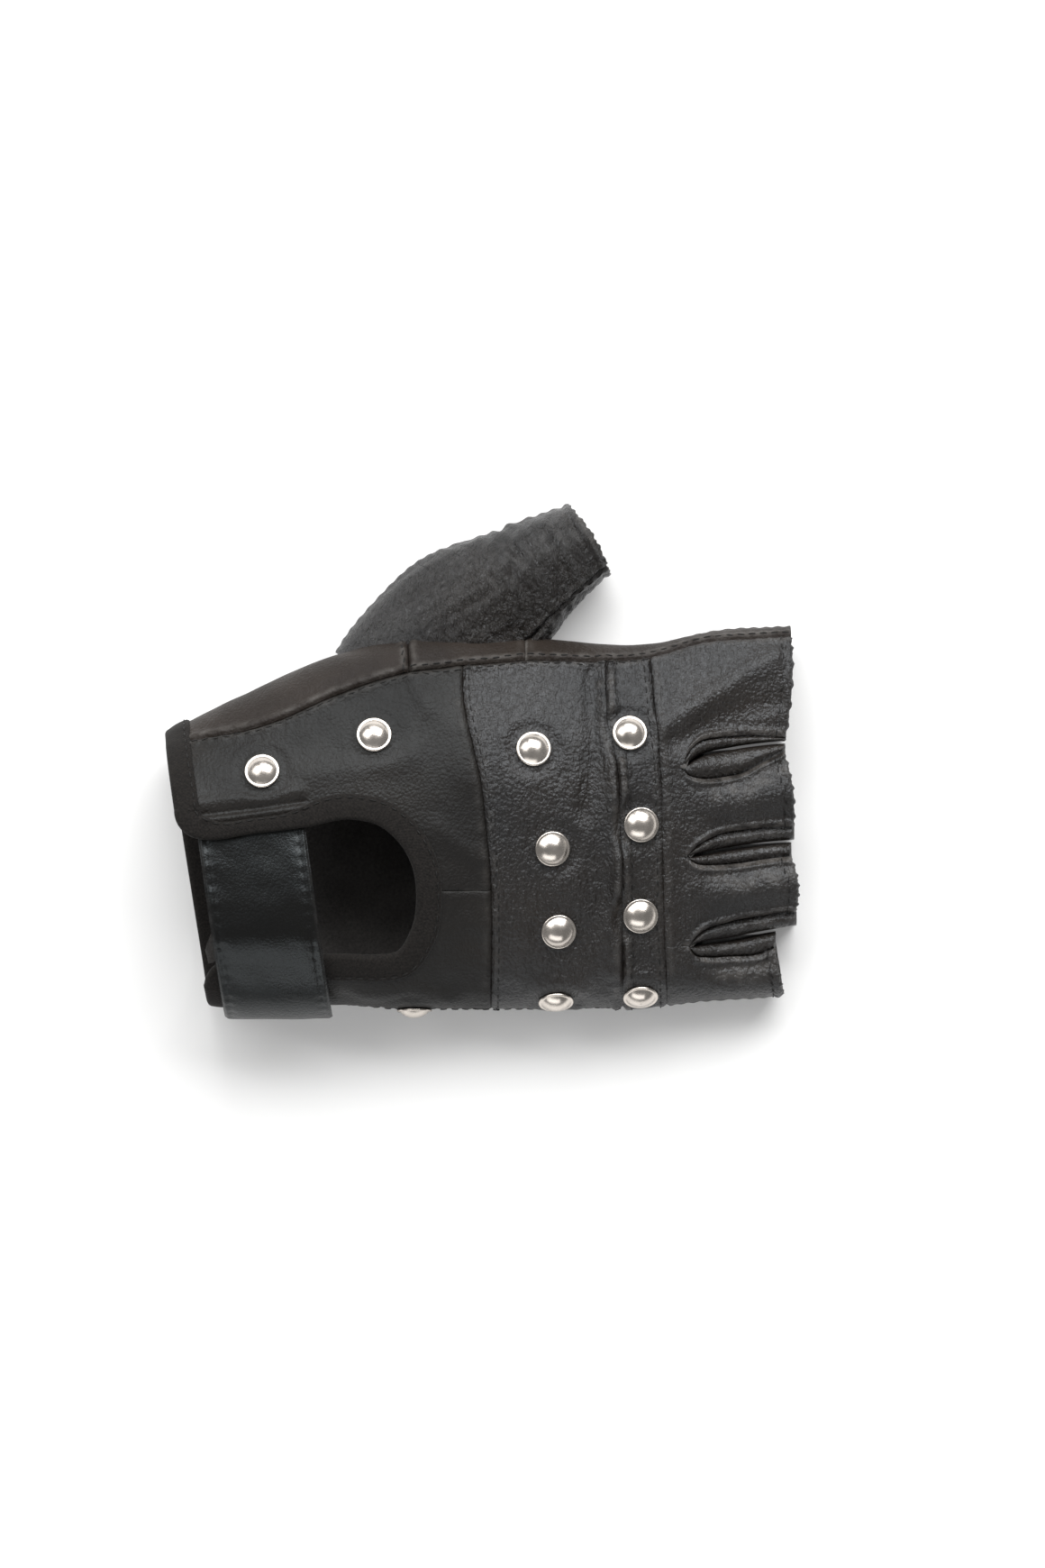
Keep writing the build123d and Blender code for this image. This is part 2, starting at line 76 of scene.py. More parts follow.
def pathThrough(points, share):
    # A smooth path through the points; share 0 to 1 runs along its length.
    points = np.asarray(points, float)
    chord = runAlong(points)
    fine = np.linspace(0, chord[-1], 400)
    line = np.stack([smoothThrough(chord, column, fine) for column in points.T], -1)
    run = runAlong(line)
    return pick(line, run, np.asarray(share) * run[-1])


def ease(value, low, high):
    # 0 below low, 1 above high, and a smooth step between them.
    w = np.clip((value - low) / (high - low), 0, 1)
    return w * w * (3 - 2 * w)


def hump(distance, width):
    # A bell that is 1 at no distance: e to the power of minus the square of distance over width.
    return np.exp(-((distance / width) ** 2))


def edgeDense(count, share=0.6):
    # Shares from 0 to 1, closer together near both ends.
    k = np.linspace(0, 1, count + 1)
    return share * (1 - np.cos(np.pi * k)) / 2 + (1 - share) * k


def unit(vectors):
    # Each vector over its own length.
    return vectors / np.maximum(np.linalg.norm(vectors, axis=-1, keepdims=True), 1e-9)


def lineDistance(points, line):
    # Shortest distance in plan from each point to a line of straight pieces.
    best = np.full(points.shape[:-1], 1e9)
    for a, b in zip(line[:-1], line[1:]):
        a, b = np.array(a, float), np.array(b, float)
        w = np.clip(((points[..., :2] - a) @ (b - a)) / ((b - a) @ (b - a)), 0, 1)
        best = np.minimum(best, np.linalg.norm(points[..., :2] - a - w[..., None] * (b - a), axis=-1))
    return best


def coons(first, last, left, right, alongShares, acrossShares):
    # Fills four edges: the mean of both rulings less the corners' own ruling, at the given shares.
    u, v = alongShares[:, None, None], acrossShares[None, :, None]
    corners = (1 - u) * ((1 - v) * first[0] + v * last[0]) + u * ((1 - v) * first[-1] + v * last[-1])
    return (1 - v) * first[:, None] + v * last[:, None] + (1 - u) * left[None] + u * right[None] - corners


def outwardNormals(byRow, byColumn, points, direction):
    # The steps along rows and columns crossed, on the side that the direction gives at the grid's middle.
    normals = unit(np.cross(byRow, byColumn))
    middle = (points.shape[0] // 2, points.shape[1] // 2)
    return normals * np.sign((normals[middle] * direction(points[middle])).sum())


def awayFrom(y, z):
    # The direction away from a line along x at (y, z).
    return lambda points: (points - np.array([0, y, z])) * np.array([0, 1, 1])


fromGlove, fromStrap = awayFrom(-14.0, 15.0), awayFrom(-30.0, 10.0)

handForm = {
    "x": [-92, -75, -60, -40, -18, 11, 46, 57.6, 83.2],
    "thumbY": [1.5, 11.0, 18.6, 27.2, 32.6, 32.6, 31.2, 33.9, 35.4],
    "littleY": [-61.0, -61.0, -61.0, -61.2, -62.1, -62.2, -61.2, -60.2, -58.6],
    "crownY": [-20.0, -20.0, -20.0, -19.8, -16.0, -9.0, -5.5, -7.0, -8.0],
    "crownZ": [41.0, 41.0, 41.0, 40.7, 38.5, 35.0, 30.0, 27.4, 23.6],
    "sideZ": [16.8, 16.8, 16.8, 16.5, 14.6, 13.0, 12.0, 11.0, 9.8],
    "floorZ": [1.6, 1.2, 0.8, 0.2, 0.05, 0.05, 0.05, 0.05, 0.05],
    "roundness": 0.64,  # radius of the sides over the crown's rise above them
}


def handSurface(x, turn):
    # A section of arcs at x. Turn 0 to 11 goes round it: thumb corner, thumb side, crown (2 to 6), little
    # side, little corner, and from 8 the flat sole. A point is its arc's centre plus radius times (cos, sin)
    # of its angle.
    x, turn = np.broadcast_arrays(np.asarray(x, float), np.asarray(turn, float) % 11)
    names = ("thumbY", "littleY", "crownY", "crownZ", "sideZ", "floorZ")
    thumbY, littleY, crownY, crownZ, sideZ, floorZ = (
        smoothThrough(handForm["x"], handForm[name], x) for name in names)
    rise, corner = crownZ - sideZ, sideZ - floorZ
    sideRadius = handForm["roundness"] * rise
    thumbSide, littleSide = thumbY - sideRadius, littleY + sideRadius

    def crownArc(sideY):
        reach = sideY - crownY
        radius = (reach**2 + rise**2 - sideRadius**2) / (2 * (rise - sideRadius))
        return radius, crownZ - radius, np.arctan2(sideZ - crownZ + radius, reach)

    thumbR, thumbZ, thumbTurn = crownArc(thumbSide)
    littleR, littleZ, littleTurn = crownArc(littleSide)
    quarter = np.pi / 2
    part = [turn < k for k in (1, 2, 4, 6, 7, 8)]
    angle = np.select(
        part,
        [
            quarter * (turn - 1),
            thumbTurn * (turn - 1),
            thumbTurn + (quarter - thumbTurn) * (turn - 2) / 2,
            quarter + (littleTurn - quarter) * (turn - 4) / 2,
            littleTurn + (np.pi - littleTurn) * (turn - 6),
            np.pi + quarter * (turn - 7),
        ],
        0.0,
    )
    centreY = np.select(part, [thumbY - corner, thumbSide, crownY, crownY, littleSide, littleY + corner], 0.0)
    centreZ = np.select(part, [sideZ, sideZ, thumbZ, littleZ, sideZ, sideZ], 0.0)
    radius = np.select(part, [corner, sideRadius, thumbR, littleR, sideRadius, corner], 0.0)
    w = (turn - 8) / 3
    soleY = (littleY + corner) * (1 - w) + (thumbY - corner) * w
    y = np.where(turn < 8, centreY + radius * np.cos(angle), soleY)
    z = np.where(turn < 8, centreZ + radius * np.sin(angle), floorZ)
    return np.stack([x, y, z], -1)


def outward(x, turn):
    # The normal: how the point moves with turn, crossed with how it moves with x.
    byTurn = handSurface(x, turn + 0.02) - handSurface(x, turn - 0.02)
    byX = handSurface(x + 0.5, turn) - handSurface(x - 0.5, turn)
    return unit(np.cross(byTurn, byX))


def findTurn(x, target, low, high, axis):
    # Halves the span low to high until the form's y (axis 1) or z (axis 2) there is the target.
    x, target = np.broadcast_arrays(np.asarray(x, float), np.asarray(target, float))
    low, high = np.full(x.shape, float(low)), np.full(x.shape, float(high))
    rising = handSurface(x, high)[..., axis] > handSurface(x, low)[..., axis]
    for step in range(26):
        middle = (low + high) / 2
        early = (handSurface(x, middle)[..., axis] < target) == rising
        low, high = np.where(early, middle, low), np.where(early, high, middle)
    return (low + high) / 2


def topTurn(x, y):
    # The turn on the back of the hand where the form has this y.
    return findTurn(x, y, 1.0, 7.0, 1)


def soleTurn(x, y):
    # The same on the sole.
    return findTurn(x, y, 8.0, 10.999, 1)


# Seams. A crossing seam gives x at a turn, a lengthwise seam gives the turn at x.
seamLines = {
    "thumbSide": ([-89.6, -75.5, -53.3, -39, -21.1, -8, 11, 42.7, 57.6, 68.8, 83.2],
                  [3.4, 6.1, 10.8, 17.1, 23.2, 25.2, 26.6, 27.6, 31.6, 32.6, 33.2]),
    "wristEdge": ([-70, 70], [-67.4, -89.8]),
    "band": ([-63, -43.5, -28, -16.8, -5.3, 5.5, 15.4, 26], [2.4, 2.6, 2.3, 1.3, 0.0, -2.3, -4.4, -4.9]),
    "strip": ([-60, -34.7, -11.7, 4.4, 11, 25], [35.9, 35.7, 35.1, 33.6, 32.0, 31.6]),
    "fingers": ([-60, -40, -20, 0, 12, 26], [47.2, 46.4, 46.0, 45.4, 44.2, 42.9]),
    "gussetStart": ([0, 40], [-17.0, -19.5]),
    "gussetEnd": ([0, 40], [11.0, 11.0]),
    "fingerEnds": ([-60, -50, -42.5, -41.5, -36, -30, -20, -18, -10, -3, 4.5, 6, 20, 34],
                   [77.2, 76.6, 75.2, 79.5, 81.2, 81.3, 79.3, 80.4, 78.9, 77.7, 77.5, 78.2, 79.2, 79.0]),
}

# Rounded corners of the cuff beside the keyhole, on the back only, so above a height
cuffCorner = {"radius": 6.2, "thumbY": -11.4, "littleY": -56.8, "above": 22.0}


def crossing(name):
    # A seam's x at a turn: from x to y on the form and from y to the seam's own x, over and over.
    ys, xs = seamLines[name]
    radius = cuffCorner["radius"]

    def at(turn):
        x = np.full(np.shape(turn), float(np.mean(xs)))
        for step in range(8):
            here = handSurface(x, turn)
            y = here[..., 1]
            x = np.interp(y, ys, xs) if name == "fingerEnds" else smoothThrough(ys, xs, y)
            if name == "wristEdge":
                past = np.minimum(cuffCorner["thumbY"] - y, y - cuffCorner["littleY"])
                past = np.clip(past / radius, 0, 1)
                x = x + radius * (1 - np.sqrt(1 - past**2)) * (here[..., 2] > cuffCorner["above"])
        return x

    return at


def wristLineX(y):
    # The wrist edge's x without its rounded corners.
    return float(np.interp(y, *seamLines["wristEdge"]))


def thumbSideSeam(x):
    # From the seam's y at x.
    return topTurn(x, smoothThrough(*seamLines["thumbSide"], x))


def littleSideSeam(x):
    # Where the little side has this height.
    return findTurn(x, 10.25 - 0.03 * np.asarray(x), 6.0, 8.0, 2)


def palmSeam(x):
    # Where the thumb side has this height.
    return findTurn(x, np.full(np.shape(x), 7.0), 0.0, 1.0, 2)


def palmSeamBelow(x):
    # The same seam, as the sole's grid counts it, one whole turn on.
    return palmSeam(x) + 11


def planToTurn(points):
    # Places (x, turn) of points in plan on the back.
    return np.stack([points[..., 0], topTurn(points[..., 0], points[..., 1])], -1)


def meet(cross, lengthwise, x):
    # Where two seams cross, by going from one to the other.
    for step in range(12):
        turn = lengthwise(x)
        x = cross(turn)
    return np.array([x, turn])


def fourSided(crossA, crossB, lengthA, lengthB, startX, endX, alongCount, acrossCount):
    # Places (x, turn) that fill the panel between two crossing seams and two lengthwise seams.
    u, v = edgeDense(alongCount), edgeDense(acrossCount)
    a0, b0 = meet(crossA, lengthA, startX), meet(crossB, lengthA, endX)
    a1, b1 = meet(crossA, lengthB, startX), meet(crossB, lengthB, endX)
    xFirst, xLast = a0[0] + (b0[0] - a0[0]) * u, a1[0] + (b1[0] - a1[0]) * u
    tLeft, tRight = a0[1] + (a1[1] - a0[1]) * v, b0[1] + (b1[1] - b0[1]) * v
    first, last = np.stack([xFirst, lengthA(xFirst)], -1), np.stack([xLast, lengthB(xLast)], -1)
    left, right = np.stack([crossA(tLeft), tLeft], -1), np.stack([crossB(tRight), tRight], -1)
    return coons(first, last, left, right, u, v)


rivetRows = ("wrist", "band", "knuckle")
rivetSeat = {
    "capSpan": 12.0,  # points of one cap lie nearer each other than this
    "rim": 0.4,  # a cap's rim is what lies this near its foot
    "below": 0.05,  # leather under a cap lies this far below its foot
    "flat": 4.9, "free": 9.5,  # it is flat within the first radius and free outside the second
    "ring": 6.0, "ringWidth": 1.3, "ringDepth": 0.35,  # it dips in a ring round the cap
    "depth": 6.0,  # and leather farther off along the cap's axis isn't drawn
}


def capPlaces():
    # A cap's axis is the direction in which its points spread least; its foot is the lowest point along it.
    places = []
    for row in rivetRows:
        mesh = nodes[f"rivet_caps_{row}"].data
        points = np.empty(len(mesh.vertices) * 3)
        mesh.vertices.foreach_get("co", points)
        points = points.reshape(-1, 3) / mm
        while len(points):
            near = np.linalg.norm(points - points[0], axis=1) < rivetSeat["capSpan"]
            group = points[near]
            centre = (group.max(0) + group.min(0)) / 2
            spread = np.linalg.svd(np.unique(group.round(3), axis=0) - centre, full_matrices=False)[2]
            axis = spread[2] * np.sign(spread[2] @ awayFrom(-25.0, 10.0)(centre))
            heights = (group - centre) @ axis
            rim = group[heights < heights.min() + rivetSeat["rim"]]
            foot = (rim.max(0) + rim.min(0)) / 2
            places.append((foot - axis * ((foot - centre) @ axis - heights.min()), axis))
            points = points[~near]
    return places


rivetPlaces = capPlaces()
print("rivets found:", len(rivetPlaces))

leatherLook = {
    "thickness": 1.0,
    "gussetThickness": 0.9,
    "seamDepth": 0.65, "seamWidth": 0.5,  # the fold of leather beside a seam rolls down by this
    "seamRoll": 0.42, "rollAt": 1.5, "rollWidth": 1.1,  # and stands proud by this before it
    "pucker": 0.13, "puckerAt": 1.9, "puckerWidth": 1.5, "puckerLength": 3.4,
    # the roll beside each seam is made paler: wear, and a painted highlight on the raised leather
    "wearAndHighlight": 0.4, "wearAndHighlightAt": 1.4, "wearAndHighlightWidth": 0.9,
    "ripple": 0.30,
    "fineRipple": 0.10,
    "thumbHole": 0.86,  # panels are cut away inside this share of the thumb's tube
}

# Folds on the back: a line in plan, its height over the form, and its half width
foldLines = [
    ([(33.2, 14.0), (34.4, 4), (35.0, -14), (35.3, -34), (33, -52)], 1.3, 3.0),
    ([(24.0, -62), (29.0, -48), (33.4, -37), (35, -24)], 1.1, 2.0),
    ([(28.3, 22), (28.8, 4), (26, -12)], -1.2, 3.0),
    ([(12, 24), (8, 8), (10, -10)], 0.6, 6.0),
    ([(25, -4), (23, -24), (24, -36)], 0.5, 3.0),
    ([(-14, 20), (-6, 8), (-4, -4)], 0.45, 3.6),
    ([(-11, -16), (-4, -22), (0, -24)], 0.55, 2.4),
    ([(-11, -44), (-4, -40), (1, -41)], 0.45, 2.6),
    ([(-12, -57), (-2, -55), (8, -58)], -0.6, 2.4),
    ([(-30, -59), (-18, -57), (-8, -60)], 0.7, 2.2),
    ([(-40, -58), (-26, -62), (-14, -62)], -0.5, 1.8),
    ([(-9.4, -32.0), (2.4, -31.7)], -0.28, 0.65),
    ([(-71, -14.2), (-58, -12.6), (-45, -10.8)], 0.55, 0.75),
    ([(-71, -12.6), (-58, -11.0), (-45, -9.2)], -0.55, 0.7),
    ([(31.2, 26.5), (31.4, 20.0), (31.9, 13.0)], 0.8, 0.8),
    ([(-70, 4), (-52, 8), (-38, 14)], 0.35, 3.4),
    ([(-72, -9.8), (-58, -8.2), (-46, -6.6)], 0.6, 1.5),
    ([(-44, -2), (-30, -1), (-18, 2)], 0.5, 3.2),
    ([(-14, 14), (-18, 22)], 0.5, 2.4),
    ([(44.5, 8.5), (57.7, 17.0), (70, 25), (74, 27)], 1.5, 3.2),
    ([(50, 6.5), (60, 12.0), (76, 17.0)], -0.9, 3.0),
    ([(54, -9), (66, -11), (78, -8)], 0.4, 3.2),
    ([(54, -32), (66, -33), (78, -30)], 0.4, 3.2),
    ([(50, -3), (52, -12), (51, -22)], -0.4, 2.4),
    ([(50, -27), (52, -36), (51, -45)], -0.4, 2.4),
]


def ripples(points, scale, seed):
    # Low waves: a sum of sines whose directions and phases come from a seeded list.
    rng = np.random.default_rng(seed)
    total = np.zeros(points.shape[:-1])
    for k in range(9):
        direction = unit(rng.normal(size=3))
        length = scale * rng.uniform(0.6, 1.8)
        total += np.sin(points @ direction * 2 * np.pi / length + rng.uniform(0, 6.3)) / 3
    return total / 2


def seamRelief(points, seams):
    # Over the distance from each sewn edge: a groove at the stitches, then a roll of leather, puckered along;
    # the roll is also made paler, for wear and a painted highlight on it.
    look, lift, wearAndHighlight = leatherLook, np.zeros(points.shape[:-1]), np.zeros(points.shape[:-1])
    edges = {"left": points[:1], "right": points[-1:], "first": points[:, :1], "last": points[:, -1:]}
    for side, depth in seams.items():
        away = np.linalg.norm(points - edges[side], axis=-1)
        run = runAlong(edges[side].reshape(-1, 3))
        run = run[None] if side in ("left", "right") else run[:, None]
        pucker = np.sin(run * 2 * np.pi / look["puckerLength"] + 1.2 * np.sin(run / 5.1))
        lift += depth * (
            look["seamRoll"] * hump(away - look["rollAt"], look["rollWidth"])
            - look["seamDepth"] * hump(away, look["seamWidth"])
            + look["pucker"] * pucker * hump(away - look["puckerAt"], look["puckerWidth"])
        )
        wearAndHighlight = np.maximum(wearAndHighlight, look["wearAndHighlight"] * abs(depth) * hump(away - look["wearAndHighlightAt"], look["wearAndHighlightWidth"]))
    return lift, wearAndHighlight


def drape(points, normals, folds=True):
    # How far soft leather lies off the form: folds along lines on the back, over broad low waves.
    lift = leatherLook["ripple"] * ripples(points, 26, 3) + leatherLook["fineRipple"] * ripples(points, 8, 10)
    if folds:
        top = ease(normals[..., 2], -0.1, 0.3)
        for line, height, width in foldLines:
            lift += height * hump(lineDistance(points, line), width) * top
    return lift


def shapedLeather(places, seams, extra=0.0, folds=True, inwardOnly=False):
    # A point of the form, moved along the normal by seams, folds and ripples, and flat under each rivet.
    x, turn = places[..., 0], places[..., 1]
    points, normals = handSurface(x, turn), outward(x, turn)
    lift, wearAndHighlight = seamRelief(points, seams)
    lift += drape(points, normals, folds) + extra
    if inwardOnly:
        low = ease(-normals[..., 2], 0.55, 0.95)
        lift = lift * (1 - low) + np.minimum(lift - 0.35, 0) * low
    points = points + normals * lift[..., None]
    seat = rivetSeat
    for foot, axis in rivetPlaces:
        offset = points - foot
        height = offset @ axis
        away = np.linalg.norm(offset - height[..., None] * axis, axis=-1)
        beside = abs(height) < seat["depth"]
        sink = (1 - ease(away, seat["flat"], seat["free"])) * (height + seat["below"])
        sink = (sink + seat["ringDepth"] * hump(away - seat["ring"], seat["ringWidth"])) * beside
        points = points - sink[..., None] * axis
    return points, wearAndHighlight


def placeMesh(name, vertices, faces, attributes=None, uv=None):
    # Vertices in millimetres; faces as rows of vertex numbers.
    mesh = bpy.data.meshes.new(name)
    mesh.from_pydata((np.asarray(vertices) * mm).tolist(), [], np.asarray(faces).tolist())
    for key, values in (attributes or {}).items():
        layer = mesh.attributes.new(key, "FLOAT", "POINT")
        layer.data.foreach_set("value", np.asarray(values, np.float32))
    if uv is not None:
        loops = np.empty(len(mesh.loops), int)
        mesh.loops.foreach_get("vertex_index", loops)
        mesh.uv_layers.new(name="UVMap").data.foreach_set("uv", np.asarray(uv, np.float32)[loops].ravel())
    mesh.update()
    obj = bpy.data.objects.new(name, mesh)
    bpy.context.scene.collection.objects.link(obj)
    return obj


def gridFaces(rows, columns, wrap=False):
    # Four corners of each cell of a grid of rows x columns points.
    i, j = np.meshgrid(np.arange(rows - 1), np.arange(columns if wrap else columns - 1), indexing="ij")
    k = (j + 1) % columns
    cells = np.stack([i * columns + j, (i + 1) * columns + j, (i + 1) * columns + k, i * columns + k], -1)
    return cells.reshape(-1, 4)


def editMesh(obj, work):
    # Hands the mesh's editable form to work, and puts the result back.
    bm = bmesh.new()
    bm.from_mesh(obj.data)
    work(bm)
    bm.to_mesh(obj.data)
    bm.free()


def mergeDoubles(bm):
    # Vertices at one place become one, and those without a face go.
    bmesh.ops.remove_doubles(bm, verts=bm.verts, dist=0.00002)
    bmesh.ops.delete(bm, geom=[v for v in bm.verts if not v.link_faces], context="VERTS")


def joinGrids(name, grids, wearsAndHighlights, drop=None):
    # Grids of one piece as one mesh, their shared rows merged; drop marks points whose cells are left out.
    faces, start = [], 0
    for k, grid in enumerate(grids):
        cells = gridFaces(*grid.shape[:2])
        if drop is not None:
            cells = cells[~drop[k].reshape(-1)[cells].all(1)]
        faces.append(cells + start)
        start += grid.shape[0] * grid.shape[1]
    points = np.concatenate([grid.reshape(-1, 3) for grid in grids])
    wearAndHighlight = np.concatenate([w.reshape(-1) for w in wearsAndHighlights])
    obj = placeMesh(name, points, np.concatenate(faces), {"wearAndHighlight": wearAndHighlight})
    editMesh(obj, mergeDoubles)
    return obj


def orientOutward(obj, direction):
    # Turns the whole sheet over when most of its faces point against the given direction.
    count = len(obj.data.polygons)
    centres, normals = np.empty(count * 3), np.empty(count * 3)
    obj.data.polygons.foreach_get("center", centres)
    obj.data.polygons.foreach_get("normal", normals)
    agree = (direction(centres.reshape(-1, 3) / mm) * normals.reshape(-1, 3)).sum(1)
    if (agree < 0).mean() > 0.5:
        obj.data.flip_normals()


def finishPiece(obj, materials, replaced, body):
    # Its materials and smooth shading; a piece given a body's name rides that body, any other has its transform
    # baked in; the CAD nodes that it stands for are hidden.
    for material in materials:
        obj.data.materials.append(material)
    obj.data.polygons.foreach_set("use_smooth", np.ones(len(obj.data.polygons), bool))
    if isinstance(body, str):
        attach(obj, body)
    else:
        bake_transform(obj)
    if replaced:
        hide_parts(*replaced)


def finishSheet(obj, thickness, materials, replaced, body="glove"):
    # Gives a sheet its thickness inwards; its last material is for the inner face and the rim.
    solid = obj.modifiers.new("thickness", "SOLIDIFY")
    solid.thickness = thickness * mm
    solid.offset = -1
    solid.use_even_offset = False
    solid.material_offset = solid.material_offset_rim = len(materials) - 1
    finishPiece(obj, materials, replaced, body)


def socketGroup(name, inputs, outputs):
    # An empty node group. An input's plain value gives its kind; the outputs are numbers.
    tree = bpy.data.node_groups.new(name, "ShaderNodeTree")
    for label, value in inputs.items():
        kind = "NodeSocketFloat" if isinstance(value, float) else "NodeSocketVector"
        tree.interface.new_socket(label, in_out="INPUT", socket_type=kind).default_value = value
    for label in outputs:
        tree.interface.new_socket(label, in_out="OUTPUT", socket_type="NodeSocketFloat")
    return tree, tree.nodes.new("NodeGroupInput").outputs, tree.nodes.new("NodeGroupOutput").inputs


def node(tree, kind, links=None, **settings):
    # A node with its settings; links maps an input's name or number to a socket or a constant.
    made = tree.nodes.new("ShaderNode" + kind)
    for key, value in settings.items():
        setattr(made, key, value)
    for key, value in (links or {}).items():
        if isinstance(value, bpy.types.NodeSocket):
            tree.links.new(value, made.inputs[key])
        else:
            made.inputs[key].default_value = value
    return made


def calc(tree, operation, a, b=0.0, clamp=False):
    # One sum, product or other plain operation on two values.
    return node(tree, "Math", {0: a, 1: b}, operation=operation, use_clamp=clamp).outputs[0]


def noise(tree, place, scale, detail, **more):
    # Clouds of noise, so many to a metre.
    return node(tree, "TexNoise", {"Vector": place, "Scale": scale, "Detail": detail, **more})


def leatherGrainGroup():
    # Height: pebbles from cell distances, broken by fine creases that run across; mask: broad soft patches.
    tree, given, made = socketGroup(
        "leatherGrain",
        {"Vector": (0, 0, 0), "Pebble Scale": 900.0, "Crease Scale": 160.0, "Crease Amount": 0.5},
        ("Height", "Patches", "Fine"))
    place = given["Vector"]
    wobble = noise(tree, place, 420.0, 2.0)
    shift = node(tree, "VectorMath", {0: wobble.outputs["Color"], 1: (0.0016, 0.0016, 0.0016)},
                 operation="MULTIPLY")
    moved = node(tree, "VectorMath", {0: place, 1: shift.outputs[0]}, operation="ADD").outputs[0]
    cells = node(tree, "TexVoronoi", {"Vector": moved, "Scale": given["Pebble Scale"]}, feature="F1")
    pebble = calc(tree, "SUBTRACT", 1.0, cells.outputs["Distance"])
    drawn = node(tree, "Mapping", {"Vector": moved, "Rotation": (0.0, 0.0, 0.25), "Scale": (2.6, 0.8, 1.0)})
    crease = noise(tree, drawn.outputs[0], given["Crease Scale"], 5.0, Roughness=0.6)
    sharp = calc(tree, "ABSOLUTE", calc(tree, "SUBTRACT", crease.outputs[0], 0.5))
    sharp = calc(tree, "MINIMUM", calc(tree, "MULTIPLY", sharp, 5.0), 1.0)
    fine = noise(tree, place, 2600.0, 2.0).outputs[0]
    height = calc(tree, "ADD", calc(tree, "MULTIPLY", pebble, 0.55),
                  calc(tree, "MULTIPLY", sharp, given["Crease Amount"]))
    tree.links.new(calc(tree, "ADD", height, calc(tree, "MULTIPLY", fine, 0.25)), made["Height"])
    tree.links.new(noise(tree, place, 34.0, 4.0, Roughness=0.55).outputs[0], made["Patches"])
    tree.links.new(fine, made["Fine"])
    return tree


def edgeWearAndHighlightGroup():
    # Wear and painted highlight from the piece's own attribute, broken up by noise.
    tree, given, made = socketGroup("edgeWearAndHighlight", {"WearAndHighlight": 0.0, "Vector": (0, 0, 0), "Amount": 0.6}, ("Mask",))
    broken = noise(tree, given["Vector"], 300.0, 4.0).outputs[0]
    spots = calc(tree, "MULTIPLY", calc(tree, "SUBTRACT", broken, 0.36, clamp=True), 3.0, clamp=True)
    mask = calc(tree, "MULTIPLY", calc(tree, "MULTIPLY", given["WearAndHighlight"], spots), given["Amount"], clamp=True)
    tree.links.new(mask, made["Mask"])
    return tree


def tapeRibsGroup():
    # Height: ribs across the tape, fuzz over them.
    tree, given, made = socketGroup("tapeRibs", {"Vector": (0, 0, 0), "UV": (0, 0, 0), "Ribs": 1.0},
                                    ("Height", "Fuzz"))
    split = node(tree, "SeparateXYZ", {0: given["UV"]})
    turns = calc(tree, "MULTIPLY", split.outputs[0], calc(tree, "MULTIPLY", given["Ribs"], 6.283))
    across = calc(tree, "SINE", calc(tree, "MULTIPLY", split.outputs[1], 5.2))
    weave = calc(tree, "MULTIPLY", calc(tree, "SINE", turns), across)
    fuzz = noise(tree, given["Vector"], 1800.0, 4.0).outputs[0]
    tree.links.new(calc(tree, "ADD", calc(tree, "MULTIPLY", weave, 0.25), fuzz), made["Height"])
    tree.links.new(fuzz, made["Fuzz"])
    return tree


grainGroup, wearAndHighlightGroup, ribsGroup = leatherGrainGroup(), edgeWearAndHighlightGroup(), tapeRibsGroup()


def startMaterial(name, constants):
    # A material whose shader holds its plain constants, and its object coordinates.
    material = bpy.data.materials.new(name)
    material.use_nodes = True
    tree = material.node_tree
    shader = tree.nodes["Principled BSDF"]
    for label, value in constants.items():
        shader.inputs[label].default_value = value
    return material, tree, shader, node(tree, "TexCoord").outputs["Object"]


def finishMaterial(tree, shader, colour, rough, height, strength, distance):
    # Feeds the shader's colour and roughness, and its normal from a bump of that height.
    bump = node(tree, "Bump", {"Height": height, "Strength": strength, "Distance": distance})
    for label, socket in (("Base Color", colour), ("Roughness", rough), ("Normal", bump.outputs[0])):
        tree.links.new(socket, shader.inputs[label])


def mixColour(tree, factor, a, b):
    # Colour a where the factor is 0, b where it is 1.
    return node(tree, "Mix", {0: factor, 6: a, 7: b}, data_type="RGBA").outputs[2]


def ramp(tree, value, low, high, outLow=0.0, outHigh=1.0):
    # Carries the span low to high over to the span of the outputs, and stops at its ends.
    return node(tree, "MapRange", {0: value, 1: low, 2: high, 3: outLow, 4: outHigh}).outputs[0]


def leatherMaterial(name, look):
    # Two tones in soft patches, pale where worn and where a highlight is painted along rims and seams, glossier
    # in the lighter patches, over the grain's height.
    material, tree, shader, place = startMaterial(name, {
        "Specular IOR Level": look["specular"], "Specular Tint": look["specularTint"],
        "Coat Weight": look["coat"], "Coat Roughness": look["coatRoughness"]})
    grain = node(tree, "Group", {
        "Vector": place, "Pebble Scale": look["pebbleScale"], "Crease Scale": look["creaseScale"],
        "Crease Amount": look["creaseAmount"]}, node_tree=grainGroup).outputs
    # The attribute holds wear together with highlight painted along rims, seam rolls and gusset walls.
    wornAndHighlit = node(tree, "Attribute", attribute_name="wearAndHighlight").outputs["Fac"]
    wearAndHighlight = node(tree, "Group", {"WearAndHighlight": wornAndHighlit, "Vector": place, "Amount": look["wearAndHighlightAmount"]},
                node_tree=wearAndHighlightGroup)
    base = mixColour(tree, ramp(tree, grain["Patches"], 0.35, 0.68), look["deep"], look["lit"])
    rough = ramp(tree, grain["Patches"], 0.3, 0.7, look["roughest"], look["smoothest"])
    rough = calc(tree, "ADD", rough, ramp(tree, grain["Fine"], 0.3, 0.7, -0.04, 0.05))
    finishMaterial(tree, shader, mixColour(tree, wearAndHighlight.outputs["Mask"], base, look["wornAndHighlit"]), rough,
                   grain["Height"], look["bump"], 0.0005)
    return material


